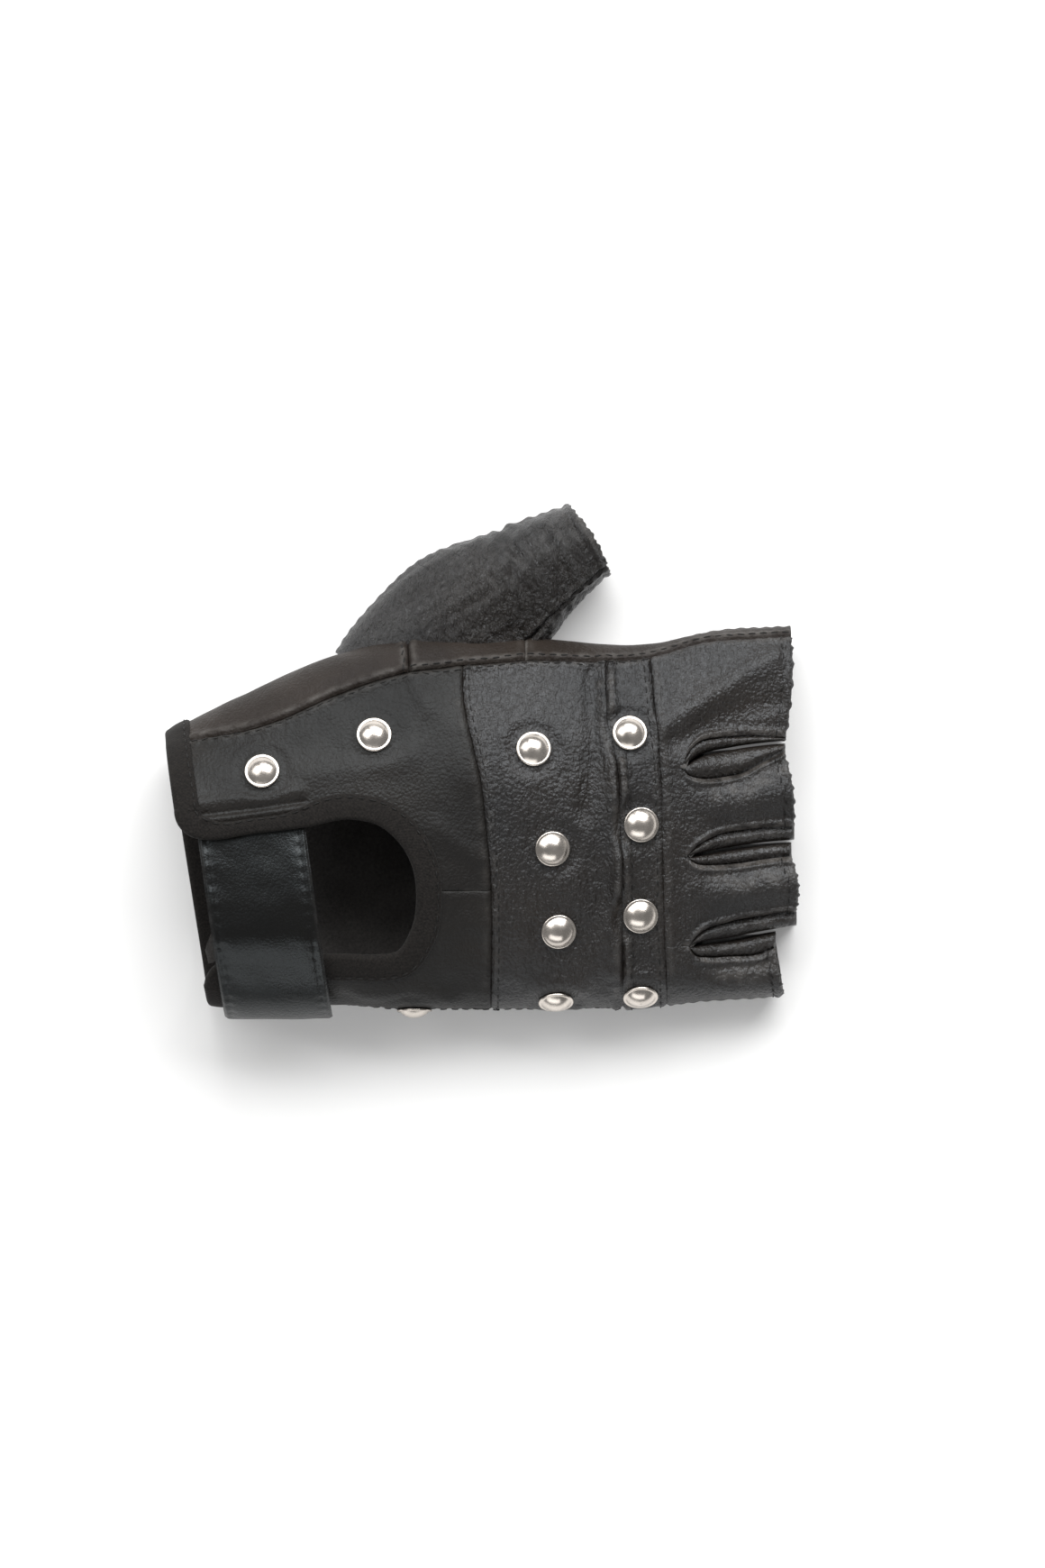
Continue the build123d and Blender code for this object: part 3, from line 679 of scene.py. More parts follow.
leatherLooks = {
    "leather": {
        "deep": (0.0085, 0.0066, 0.0053, 1), "lit": (0.0180, 0.0142, 0.0115, 1),
        "wornAndHighlit": (0.115, 0.105, 0.096, 1), "specular": 0.48, "specularTint": (0.88, 0.94, 1.0, 1),
        "coat": 0.07, "coatRoughness": 0.30, "pebbleScale": 1050.0, "creaseScale": 170.0,
        "creaseAmount": 0.55, "wearAndHighlightAmount": 0.75, "roughest": 0.50, "smoothest": 0.29, "bump": 0.9},
    # The wrist panels' copy: a shaded copy of the leather, with its sheen cut down and its tone set for the
    # wrist lying away from the light.
    "wristShadedLeather": {
        "deep": (0.0105, 0.0088, 0.0076, 1), "lit": (0.0200, 0.0172, 0.0150, 1),
        "wornAndHighlit": (0.115, 0.105, 0.096, 1), "specular": 0.22, "specularTint": (0.86, 0.95, 1.0, 1),
        "coat": 0.03, "coatRoughness": 0.30, "pebbleScale": 1200.0, "creaseScale": 150.0,
        "creaseAmount": 0.35, "wearAndHighlightAmount": 0.6, "roughest": 0.58, "smoothest": 0.40, "bump": 0.55},
    # The side panels' copy is browner and lighter, with less sheen: painted warm light, reflected onto them
    # from skin.
    "sideWarmLitLeather": {
        "deep": (0.0135, 0.0102, 0.0080, 1), "lit": (0.0290, 0.0225, 0.0180, 1),
        "wornAndHighlit": (0.150, 0.142, 0.132, 1), "specular": 0.22, "specularTint": (0.95, 0.95, 1.0, 1),
        "coat": 0.0, "coatRoughness": 0.30, "pebbleScale": 1200.0, "creaseScale": 150.0,
        "creaseAmount": 0.4, "wearAndHighlightAmount": 0.9, "roughest": 0.60, "smoothest": 0.44, "bump": 0.5},
    "thumbLeather": {
        "deep": (0.0110, 0.0087, 0.0070, 1), "lit": (0.0225, 0.0182, 0.0150, 1),
        "wornAndHighlit": (0.125, 0.115, 0.105, 1), "specular": 0.60, "specularTint": (0.88, 0.94, 1.0, 1),
        "coat": 0.16, "coatRoughness": 0.28, "pebbleScale": 700.0, "creaseScale": 240.0,
        "creaseAmount": 1.2, "wearAndHighlightAmount": 0.85, "roughest": 0.44, "smoothest": 0.25, "bump": 1.3},
    "strapLeather": {
        "deep": (0.0024, 0.0020, 0.0017, 1), "lit": (0.0050, 0.0043, 0.0037, 1),
        "wornAndHighlit": (0.055, 0.052, 0.050, 1), "specular": 0.28, "specularTint": (0.84, 0.95, 1.0, 1),
        "coat": 0.14, "coatRoughness": 0.22, "pebbleScale": 1500.0, "creaseScale": 210.0,
        "creaseAmount": 0.3, "wearAndHighlightAmount": 0.3, "roughest": 0.38, "smoothest": 0.27, "bump": 0.22},
}
leather, wristShadedLeather, sideWarmLitLeather, thumbLeather, strapLeather = (
    leatherMaterial(name, look) for name, look in leatherLooks.items())


def insideMaterial():
    # The flesh side: matte and fibrous.
    material, tree, shader, place = startMaterial(
        "leatherInside", {"Specular IOR Level": 0.2, "Sheen Weight": 0.25, "Sheen Roughness": 0.6})
    fibres = noise(tree, place, 1400.0, 6.0, Roughness=0.7).outputs[0]
    clouds = noise(tree, place, 90.0, 3.0).outputs[0]
    tone = calc(tree, "ADD", calc(tree, "MULTIPLY", fibres, 0.6), calc(tree, "MULTIPLY", clouds, 0.4))
    colour = mixColour(tree, ramp(tree, tone, 0.35, 0.65), (0.022, 0.020, 0.019, 1), (0.070, 0.066, 0.062, 1))
    finishMaterial(tree, shader, colour, ramp(tree, fibres, 0.3, 0.7, 0.86, 0.98), fibres, 0.8, 0.00025)
    return material


def tapeMaterial():
    # Matte tape with ribs across it and fuzz.
    material, tree, shader, place = startMaterial(
        "bindingTape", {"Specular IOR Level": 0.16, "Sheen Weight": 0.05, "Sheen Roughness": 0.5})
    uv = node(tree, "UVMap", uv_map="UVMap").outputs[0]
    ribs = node(tree, "Group", {"Vector": place, "UV": uv, "Ribs": 1.1}, node_tree=ribsGroup).outputs
    fuzz = ribs["Fuzz"]
    colour = mixColour(tree, ramp(tree, fuzz, 0.35, 0.7), (0.0062, 0.0054, 0.0049, 1),
                       (0.0190, 0.0168, 0.0152, 1))
    finishMaterial(tree, shader, colour, ramp(tree, fuzz, 0.3, 0.7, 0.78, 0.95), ribs["Height"], 0.6, 0.0002)
    return material


def pileMaterial(name, low, high, scale, strength):
    # Hooks or loops: small cells standing out of a woven ground.
    material, tree, shader, place = startMaterial(
        name, {"Specular IOR Level": 0.3, "Sheen Weight": 0.15, "Sheen Roughness": 0.45})
    cells = node(tree, "TexVoronoi", {"Vector": place, "Scale": scale, "Randomness": 0.75})
    hairs = noise(tree, place, scale * 1.7, 4.0).outputs[0]
    height = calc(tree, "ADD", calc(tree, "SUBTRACT", 1.0, cells.outputs["Distance"]), hairs)
    finishMaterial(tree, shader, mixColour(tree, ramp(tree, height, 0.7, 1.4), low, high),
                   ramp(tree, hairs, 0.3, 0.7, 0.6, 0.85), height, strength, 0.0005)
    return material


def nickelMaterial(name, colour, roughLow, roughHigh, scratch):
    # Polished plate: fine scuffs in the gloss and slight clouding of the tone.
    material, tree, shader, place = startMaterial(name, {"Metallic": 1.0, "Specular IOR Level": 0.5})
    clouds = noise(tree, place, 260.0, 4.0).outputs[0]
    drawn = node(tree, "Mapping", {"Vector": place, "Rotation": (0.3, 0.2, 0.7), "Scale": (1.0, 14.0, 3.0)})
    scuffs = noise(tree, drawn.outputs[0], 900.0, 3.0).outputs[0]
    dim = tuple(c * 0.82 for c in colour[:3]) + (1,)
    rough = ramp(tree, calc(tree, "MULTIPLY", scuffs, clouds), 0.1, 0.45, roughLow, roughHigh)
    finishMaterial(tree, shader, mixColour(tree, ramp(tree, clouds, 0.35, 0.65), dim, colour), rough,
                   scuffs, scratch, 0.00003)
    return material


def threadMaterial():
    # Dark thread with a fine twist.
    material, tree, shader, place = startMaterial("thread", {"Specular IOR Level": 0.25})
    twist = node(tree, "TexWave", {"Vector": place, "Scale": 2400.0, "Distortion": 2.0}).outputs["Fac"]
    colour = mixColour(tree, twist, (0.006, 0.006, 0.006, 1), (0.022, 0.021, 0.020, 1))
    finishMaterial(tree, shader, colour, ramp(tree, twist, 0.0, 1.0, 0.45, 0.65), twist, 0.5, 0.0001)
    return material


leatherInside, bindingTape, thread = insideMaterial(), tapeMaterial(), threadMaterial()
hookTape = pileMaterial("hookTape", (0.006, 0.006, 0.006, 1), (0.030, 0.030, 0.030, 1), 620.0, 0.9)
loopTape = pileMaterial("loopTape", (0.010, 0.010, 0.010, 1), (0.042, 0.041, 0.040, 1), 900.0, 1.0)
nickel = nickelMaterial("polishedNickel", (0.69, 0.635, 0.58, 1), 0.20, 0.34, 0.12)
steel = nickelMaterial("satinSteel", (0.55, 0.53, 0.50, 1), 0.28, 0.45, 0.3)
print("materials made")


def leatherPiece(name, grids, wearsAndHighlights, replaced, look=leather, drop=None, direction=fromGlove,
                 thickness=leatherLook["thickness"]):
    # A sheet of leather from its grids, with the flesh side inside.
    obj = joinGrids(name, grids, wearsAndHighlights, drop)
    orientOutward(obj, direction)
    finishSheet(obj, thickness, [look, leatherInside], replaced)


thumbStall = {
    "x": [-32, -16, 1.0, 14.7, 24.2, 28.2],
    "y": [8.7, 24, 40, 49.5, 55.6, 58.0],
    "z": [10.7, 11.1, 11.5, 11.9, 12.05, 12.1],
    "halfBreadth": [13.1, 19.5, 18.0, 13.0, 10.4, 9.5],
    "halfHeight": [7.6, 9.84, 10.5, 11.0, 10.9, 10.8],
    "heading": [52, 50, 38, 34, 32, 31],
    "frontSeam": 143,  # angle round the section of the seam that faces the fingers
    "outerSeam": -12,  # and of the seam on the outside
    "length": 76,
    "inHand": 2.2,  # cells this deep in the hand form are left out
    "wrinkle": 0.62, "wrinkleLength": 4.2, "wrinkleStart": (0.3, 0.5), "wrinkleStop": (0.86, 0.97),
    "pebbles": 0.6, "pebbleLengths": (3.4, 2.0), "pebblesStart": (0.5, 0.8),  # towards the end of the stall
    "wave": 0.55, "waveLength": 19,
    "hollow": 1.4, "hollowAt": (0.60, 128), "hollowSpan": (6.5, 26),  # share and angle; millimetres and degrees
    "hemGroove": 0.35, "hemRoll": 0.25,
}


def thumbSection(share):
    # Centre, half breadth, half height, and the directions ahead and aside, at a share of the length.
    run = runAlong(np.stack([thumbStall["x"], thumbStall["y"]], -1))
    at = np.asarray(share) * run[-1]
    x, y, z, breadth, height, heading = (
        smoothThrough(run, thumbStall[name], at)
        for name in ("x", "y", "z", "halfBreadth", "halfHeight", "heading"))
    cosine, sine = np.cos(np.radians(heading)), np.sin(np.radians(heading))
    ahead, aside = np.stack([cosine, sine, 0 * sine], -1), np.stack([-sine, cosine, 0 * sine], -1)
    return np.stack([x, y, z], -1), breadth, height, ahead, aside


def thumbSurface(share, angle):
    # An ellipse on the plane square to the heading, carried along the middle line.
    centre, breadth, height, ahead, aside = thumbSection(share)
    turn = np.radians(angle)
    flatter = 1 + 0.05 * np.cos(2 * turn)
    return (centre + aside * (breadth * flatter * np.cos(turn))[..., None]
            + np.array([0, 0, 1.0]) * (height * np.sin(turn))[..., None])


def thumbDepth(points):
    # Below 1 inside the thumb's tube: the reach from its middle line over the section's reach that way.
    flat = points.reshape(-1, 3)
    centre, breadth, height, ahead, aside = thumbSection(np.linspace(0, 1, 70))
    offset = flat[:, None] - centre[None]
    alongIt = np.abs(np.einsum("pkc,kc->pk", offset, ahead))
    k = alongIt.argmin(1)
    row = np.arange(len(flat))
    across = np.einsum("pc,pc->p", offset[row, k], aside[k]) / breadth[k]
    reach = np.hypot(across, offset[row, k, 2] / height[k])
    reach[alongIt[row, k] > 1.5] = 9
    return reach.reshape(points.shape[:-1])


def inThumbHole(points):
    # Where the panels make way for the thumb.
    return thumbDepth(points) < leatherLook["thumbHole"]


def handDepth(points):
    # How far a point lies inside the hand form: distance to the section's curve, less than 0 outside it.
    flat = points.reshape(-1, 3)
    turns = np.concatenate([np.linspace(0, 8, 97), np.linspace(8.1, 10.9, 30)])
    curve = handSurface(flat[:, 0][:, None], turns[None])
    normals = outward(flat[:, 0][:, None], turns[None])
    offset = flat[:, None] - curve
    nearest = (offset**2).sum(-1).argmin(1)
    row = np.arange(len(flat))
    return -(offset[row, nearest] * normals[row, nearest]).sum(-1).reshape(points.shape[:-1])


def thumbHalf(name, angles, replaced, seed):
    # One half of the stall, wrinkled across, rolled in beside its two seams and turned under at its end.
    share = np.concatenate([np.linspace(0.16, 0.9, 110), np.linspace(0.905, 1.0, 26)])
    s, a = np.meshgrid(share, angles[0] + (angles[1] - angles[0]) * edgeDense(84), indexing="ij")
    ragged = 0.35 * np.sin(a / 4.1) + 0.25 * np.sin(a / 1.7 + 1)
    s = s + ease(s, 0.9, 1.0) * (ragged + 2.2 * np.sin(np.radians(a)) ** 2 - 1.4) * 0.008
    points = thumbSurface(s, a)
    centre, breadth, height, ahead, aside = thumbSection(s)
    core = centre[s.shape[0] // 2, s.shape[1] // 2]
    byAngle = thumbSurface(s, a + 1) - thumbSurface(s, a - 1)
    byShare = thumbSurface(s + 0.005, a) - thumbSurface(s - 0.005, a)
    normals = outwardNormals(byAngle, byShare, points, lambda place: place - core)
    lift, wearAndHighlight = seamRelief(points, {"first": 1.0, "last": 1.0})
    alongIt, acrossIt, up = (points * ahead).sum(-1), (points * aside).sum(-1), points[..., 2]
    lengthwise = np.stack([alongIt * 0.28, acrossIt, up], -1)
    pebbled = np.stack([alongIt, acrossIt * 0.6, up * 0.6], -1)
    look, towardsTip = thumbStall, ease(s, *thumbStall["pebblesStart"])
    coarse, small = (ripples(pebbled, length, seed + k) for length, k in zip(look["pebbleLengths"], (1, 3)))
    wrinkle = (1 - towardsTip) * ripples(lengthwise, look["wrinkleLength"], seed)
    wrinkle += towardsTip * look["pebbles"] * (coarse + small)
    lift += look["wrinkle"] * wrinkle * ease(s, *look["wrinkleStart"]) * (1 - ease(s, *look["wrinkleStop"]))
    lift += look["wave"] * ripples(points, look["waveLength"], seed + 5)
    toEnd = (1 - s) * look["length"]
    lift += look["hemRoll"] * hump(toEnd - 1.2, 0.9) - look["hemGroove"] * hump(toEnd - 2.6, 0.6)
    if name == "thumbBack":  # a hollow where the stall meets the back of the hand
        alongHollow = hump((s - look["hollowAt"][0]) * look["length"], look["hollowSpan"][0])
        lift -= look["hollow"] * alongHollow * hump(a - look["hollowAt"][1], look["hollowSpan"][1])
    points = points + normals * lift[..., None]
    leatherPiece(name, [points], [np.maximum(wearAndHighlight, hump(toEnd, 1.0))], replaced, thumbLeather,
                 drop=[handDepth(points) > thumbStall["inHand"]],
                 direction=lambda c: c - thumbSection(np.clip((c[:, 0] + 32) / 60, 0, 1))[0])
    return points


keyholeEdge = {
    "thumbSide": [(-70, -17.6), (-58, -16.2), (-45, -14.6), (-32.5, -12.6), (-25.3, -14.4), (-19.8, -19.2),
                  (-16.5, -25.3), (-15.4, -32.0)],
    "littleSide": [(-70, -50.6), (-58, -50.3), (-45, -49.6), (-33, -49.4), (-26.5, -49.6), (-20.7, -48.4),
                   (-17.0, -43.0), (-15.4, -32.0)],
    "shortSeam": [(-9.4, -32.0), (0.6, -31.8)],  # where the two panels meet beyond the hole
    "margin": 0.3,  # leather lies this far back from the edge, under the tape
    "reach": 9.0,  # and points farther over the hole than this are left as they are
    "farX": -25.0,  # the hole's far end lies beyond this
    "along": 150, "across": 70,
}


def keyholePath():
    # The whole edge in plan: a rounded corner of the cuff, round the hole, and the other corner.
    turns, radius = np.radians(np.linspace(8, 82, 7)), cuffCorner["radius"]
    corners = []
    for y, way in ((cuffCorner["thumbY"], -1), (cuffCorner["littleY"], 1)):
        x = wristLineX(y)
        arc = [(x + radius * (1 - np.cos(a)), y + way * radius * np.sin(a)) for a in turns]
        corners.append([(x, y)] + arc)
    return corners[0] + keyholeEdge["thumbSide"][1:] + keyholeEdge["littleSide"][-2:0:-1] + corners[1][::-1]


def keyholeSides(count):
    # Points along the keyhole's edge and, at each, the direction away from the hole.
    line = pathThrough(keyholePath(), np.linspace(0, 1, count))
    ahead = unit(np.gradient(line, axis=0))
    return line, np.stack([-ahead[:, 1], ahead[:, 0]], -1)


def clearOfHole(places):
    # Points over the hole, or nearer its edge than the margin, move to the margin; says which did.
    plan = handSurface(places[..., 0], places[..., 1])[..., :2]
    line, side = keyholeSides(500)
    nearest = ((plan[..., None, :] - line) ** 2).sum(-1).argmin(-1)
    offset = plan - line[nearest]
    short = (offset * side[nearest]).sum(-1) < keyholeEdge["margin"]
    short &= np.linalg.norm(offset, axis=-1) < keyholeEdge["reach"]
    moved = planToTurn(line[nearest] + keyholeEdge["margin"] * side[nearest])
    return np.where(short[..., None], moved, places), short


def backPanel(name, side, lengthwise, replaced):
    # Fills between a side seam and the keyhole's edge, which goes on along the short seam.
    u, v = edgeDense(keyholeEdge["along"], 0.3), edgeDense(keyholeEdge["across"])
    wrist, band = crossing("wristEdge"), crossing("band")
    startY, seamY = keyholeEdge[side][0][1], keyholeEdge["shortSeam"][0][1]
    whole = pathThrough(keyholePath(), np.linspace(0, 1, 900))
    past = whole[:, 1] < seamY
    if side == "littleSide":
        whole, past = whole[::-1], whole[::-1, 1] > seamY
    start = np.array([float(wrist(topTurn(-75.0, startY))), startY])
    begin = np.linalg.norm(whole - start, axis=1).argmin()
    hole = whole[begin:np.flatnonzero(past & (whole[:, 0] > keyholeEdge["farX"]))[0]]
    seamEnd = np.array([float(band(topTurn(0.0, seamY))), seamY])
    tail = hole[-1] + (seamEnd - hole[-1]) * np.linspace(0, 1, 50)[1:, None]
    line = np.concatenate([hole, tail])
    run = runAlong(line)
    inner = planToTurn(pick(line, run, u * run[-1]))
    a, b = meet(wrist, lengthwise, -80.0), meet(band, lengthwise, 0.0)
    xOuter = a[0] + (b[0] - a[0]) * u
    outer = np.stack([xOuter, lengthwise(xOuter)], -1)
    tLeft, tRight = a[1] + (inner[0, 1] - a[1]) * v, b[1] + (inner[-1, 1] - b[1]) * v
    left, right = np.stack([wrist(tLeft), tLeft], -1), np.stack([band(tRight), tRight], -1)
    places = coons(outer, inner, left, right, u, v)
    atHole = np.zeros(places.shape[:2], bool)
    places[:, :-1], atHole[:, :-1] = clearOfHole(places[:, :-1])
    points, wearAndHighlight = shapedLeather(places, {"right": 0.6, "first": 1.0})
    # The panel is made paler along the short seam.
    wearAndHighlight = np.maximum(wearAndHighlight, 0.5 * hump(lineDistance(points, keyholeEdge["shortSeam"]), 0.4))
    leatherPiece(name, [points], [wearAndHighlight], replaced, wristShadedLeather, drop=[inThumbHole(points) | atHole])
    return points


backThumbPoints = backPanel("backPanelThumbSide", "thumbSide", thumbSideSeam, ["back_panel_thumb_side"])
backLittlePoints = backPanel("backPanelLittleSide", "littleSide", littleSideSeam, ["back_panel_little_side"])

# Each panel: its two crossing seams, its two lengthwise seams, x near where it starts and ends, the cells
# along and across, the depth of the relief along each sewn edge, the CAD node and the leather
sidePanels = {
    "handBand": ("band", "strip", thumbSideSeam, littleSideSeam, 0.0, 33.0, 64, 150,
                 {"left": 0.6, "right": 1.0, "first": 1.0, "last": 1.0}, "hand_band", leather),
    "knuckleStrip": ("strip", "fingers", thumbSideSeam, littleSideSeam, 33.0, 46.0, 30, 150,
                     {"left": 1.4, "right": 0.5, "first": 1.0, "last": 1.0}, "knuckle_strip", leather),
    "thumbSidePanel": ("wristEdge", "gussetStart", thumbSideSeam, palmSeam, -80.0, -18.0, 80, 60,
                       {"right": 1.0, "first": 1.0, "last": 1.0}, "thumb_side_panel", sideWarmLitLeather),
    "thumbGusset": ("gussetStart", "gussetEnd", thumbSideSeam, palmSeam, -18.0, 11.0, 50, 50,
                    {"left": 1.0, "right": 0.4, "first": 1.0, "last": 1.0}, "thumb_gusset", sideWarmLitLeather),
    "indexSideStrip": ("gussetEnd", "fingerEnds", thumbSideSeam, palmSeam, 11.0, 79.0, 100, 50,
                       {"left": 0.4, "first": 1.0, "last": 1.0}, "index_side_strip", sideWarmLitLeather),
}


def sidePanel(name, look):
    # A four sided panel with its relief; the strip is made paler along its seam to the gusset.
    crossA, crossB, lengthA, lengthB, startX, endX, along, across, seams, replaced, material = look
    places = fourSided(crossing(crossA), crossing(crossB), lengthA, lengthB, startX, endX, along, across)
    points, wearAndHighlight = shapedLeather(places, seams)
    if name == "indexSideStrip":
        wearAndHighlight = np.maximum(wearAndHighlight, hump(points[..., 0] - 11.2, 0.5))
    leatherPiece(name, [points], [wearAndHighlight], [replaced], material, drop=[inThumbHole(points)])
    return points


bandPoints, stripPoints, thumbSidePoints, thumbGussetPoints, indexSidePoints = (
    sidePanel(name, look) for name, look in sidePanels.items())
print("back and side panels made")


# Rims of the finger backs in plan, from where two fingers part to their ends; upper is nearer the thumb
grooves = [
    {"name": "gussetIndexMiddle", "node": "gusset_index_middle", "tip": (51.1, -1.0),
     "upper": [(51.1, -1.0), (52.2, 2.4), (54.9, 5.6), (63.7, 7.7), (71, 7.9), (78.0, 7.4)],
     "lower": [(51.1, -1.0), (52.6, -2.6), (55.0, -3.3), (62, -2.9), (66.5, -1.9), (71.1, 0.6), (77.5, 3.9)],
     "crease": ([51.1, 55.2, 63.7, 72, 82], [-0.6, 2.0, 4.2, 5.4, 6.2]),
     "palm": ([50, 80], [3.4, 6.6])},
    {"name": "gussetMiddleRing", "node": "gusset_middle_ring", "tip": (52.2, -23.6),
     "upper": [(52.2, -23.6), (54.0, -21.5), (60.3, -18.0), (67.4, -16.6), (74, -16.0), (80.2, -15.9)],
     "lower": [(52.2, -23.6), (54.4, -25.1), (60, -25.7), (66, -25.3), (72, -24.3), (79.3, -23.4)],
     "crease": ([52.2, 56, 65.6, 72, 82], [-23.4, -22.6, -20.9, -20.0, -19.2]),
     "palm": ([50, 80], [-20.2, -18.6])},
    {"name": "gussetRingLittle", "node": "gusset_ring_little", "tip": (52.8, -46.3),
     "upper": [(52.8, -46.3), (55.2, -43.4), (63.7, -40.4), (71.1, -39.0), (76, -38.2), (80.6, -38.0)],
     "lower": [(52.8, -46.3), (54.4, -48.6), (58, -49.4), (64, -49.5), (70, -49.2), (75.4, -47.2)],
     "crease": ([52.8, 56, 63.7, 70, 82], [-46.2, -45.4, -44.3, -43.0, -41.0]),
     "palm": ([50, 80], [-43.4, -41.8])},
]
fingerBacks = {
    "before": 16, "after": 56, "across": 44,  # cells as far as where two fingers part, beyond it, and across
    "rimDrop": 3.0, "rimRoll": 0.85, "rimShare": 0.55,  # how far over the finger a rim draws its back down
    # the pale rim span and fadeSpan say where the highlight painted on each rim, and the painted pale patch
    # beside it, come in
    "dropSpan": (49.5, 66), "rollSpan": (51, 55), "rimHighlightSpan": (51, 54), "fadeSpan": (56, 62),  # in x
    "hemGroove": 0.30, "hemRoll": 0.2, "hemRound": 0.5,
    "bow": [0.9, 0.5, 0.9, 0.5],  # how far each finger's end bows out
    "thumbSplit": 51.5, "littleSplit": 52.8,  # where the outer edges' even steps end
}
palmSheet = {
    "before": 110, "after": 34, "across": 44, "gap": 1.1, "crotch": 56.0, "floor": 0.02,
    # Creases: a line in plan, its height and its half width
    "creases": [([(-60, -2), (-30, 4), (0, 2), (30, -20), (40, -50)], -1.1, 2.2),
                ([(10, 26), (22, 4), (30, -26), (30, -54)], -0.9, 1.8), ([(44, 28), (44, -58)], -0.7, 1.4),
                ([(-70, -50), (-60, -20), (-62, 6)], -0.7, 2.0)],
}
fingersStart = {"thumb": 44.0, "little": 47.0}  # x near where the outer edges of the fingers start
fingersEnd = {"thumb": 79.0, "little": 77.0}  # and end


def lengthening(count):
    # Shares whose steps grow slowly.
    return np.linspace(0, 1, count + 1) ** 1.15


def stepped(start, tip, line, before, after):
    # Points straight from start to tip, then along the line, so that neighbours share the first part.
    start, tip = np.asarray(start, float), np.asarray(tip, float)
    straight = start + (tip - start) * np.linspace(0, 1, before + 1)[:, None]
    return np.concatenate([straight, pathThrough(line, lengthening(after))[1:]])


def sideLine(lengthwise, near, split, far, before, shares):
    # Along a side seam: even steps as far as the split, then on to the end at the given shares.
    x = np.concatenate([np.linspace(near, split, before + 1), split + (far - split) * shares[1:]])
    return np.stack([x, lengthwise(x)], -1)


def fingerBackGrids():
    # Each finger's back fills its two rims, the seam and its end; it arches between rims that drop towards
    # the end.
    look = fingerBacks
    before, after = look["before"], look["after"]
    fingers, ends = crossing("fingers"), crossing("fingerEnds")
    v = edgeDense(look["across"], 0.7)

    def rim(groove, side):
        tip = groove["tip"]
        start = (float(smoothThrough(*seamLines["fingers"], tip[1])), tip[1])
        return planToTurn(stepped(start, tip, groove[side], before, after))

    def outerRim(lengthwise, side):
        near = meet(fingers, lengthwise, fingersStart[side])[0]
        far = meet(ends, lengthwise, fingersEnd[side])[0]
        return sideLine(lengthwise, near, look[side + "Split"], far, before, lengthening(after))

    grids, wearsAndHighlights = [], []
    for k in range(4):
        first = outerRim(thumbSideSeam, "thumb") if k == 0 else rim(grooves[k - 1], "lower")
        last = outerRim(littleSideSeam, "little") if k == 3 else rim(grooves[k], "upper")
        tLeft = first[0, 1] + (last[0, 1] - first[0, 1]) * v
        tRight = first[-1, 1] + (last[-1, 1] - first[-1, 1]) * v
        left = np.stack([fingers(tLeft), tLeft], -1)
        bow = look["bow"][k] * np.sin(np.pi * v) + 0.22 * np.sin(v * 37 + k) + 0.15 * np.sin(v * 71 + 2 * k)
        right = np.stack([first[-1, 0] + (last[-1, 0] - first[-1, 0]) * v + bow, tRight], -1)
        places = coons(first, last, left, right, np.linspace(0, 1, before + after + 1), v)
        x = places[..., 0]
        points = handSurface(x, places[..., 1])
        toEnd = np.linalg.norm(points - points[-1][None], axis=-1)
        extra = look["hemRoll"] * hump(toEnd - 1.0, 0.9) - look["hemGroove"] * hump(toEnd - 2.4, 0.5)
        extra -= look["hemRound"] * hump(toEnd, 0.5)
        # Painted highlight: pale along each rim, and a soft pale patch beside the rim nearer the thumb.
        rimHighlight = np.zeros(x.shape)
        for isRim, away, index in ((k > 0, v[None], 0), (k < 3, 1 - v[None], -1)):
            if isRim:
                distance = np.linalg.norm(points - points[:, index][:, None], axis=-1)
                arch = np.clip(1 - away / look["rimShare"], 0, 1) ** 2.3
                extra -= look["rimDrop"] * ease(x, *look["dropSpan"]) * arch
                extra += look["rimRoll"] * hump(distance - 1.1, 0.8) * ease(x, *look["rollSpan"])
                rimHighlight = np.maximum(rimHighlight, hump(distance - 0.5, 0.8) * ease(x, *look["rimHighlightSpan"]))
                if index == 0:  # and a soft pale patch beside it
                    patch = 0.55 * hump(distance - 4.2, 2.6) * ease(x, *look["fadeSpan"])
                    rimHighlight = np.maximum(rimHighlight, patch)
        seams = {"left": 0.5, "first": float(k == 0), "last": float(k == 3)}
        shaped, wearAndHighlight = shapedLeather(places, seams, extra)
        grids.append(shaped)
        wearsAndHighlights.append(np.maximum(wearAndHighlight, rimHighlight))
    return grids, wearsAndHighlights


fingerGrids, fingerWearsAndHighlights = fingerBackGrids()
leatherPiece("fingerBack", fingerGrids, fingerWearsAndHighlights, ["finger_back"])


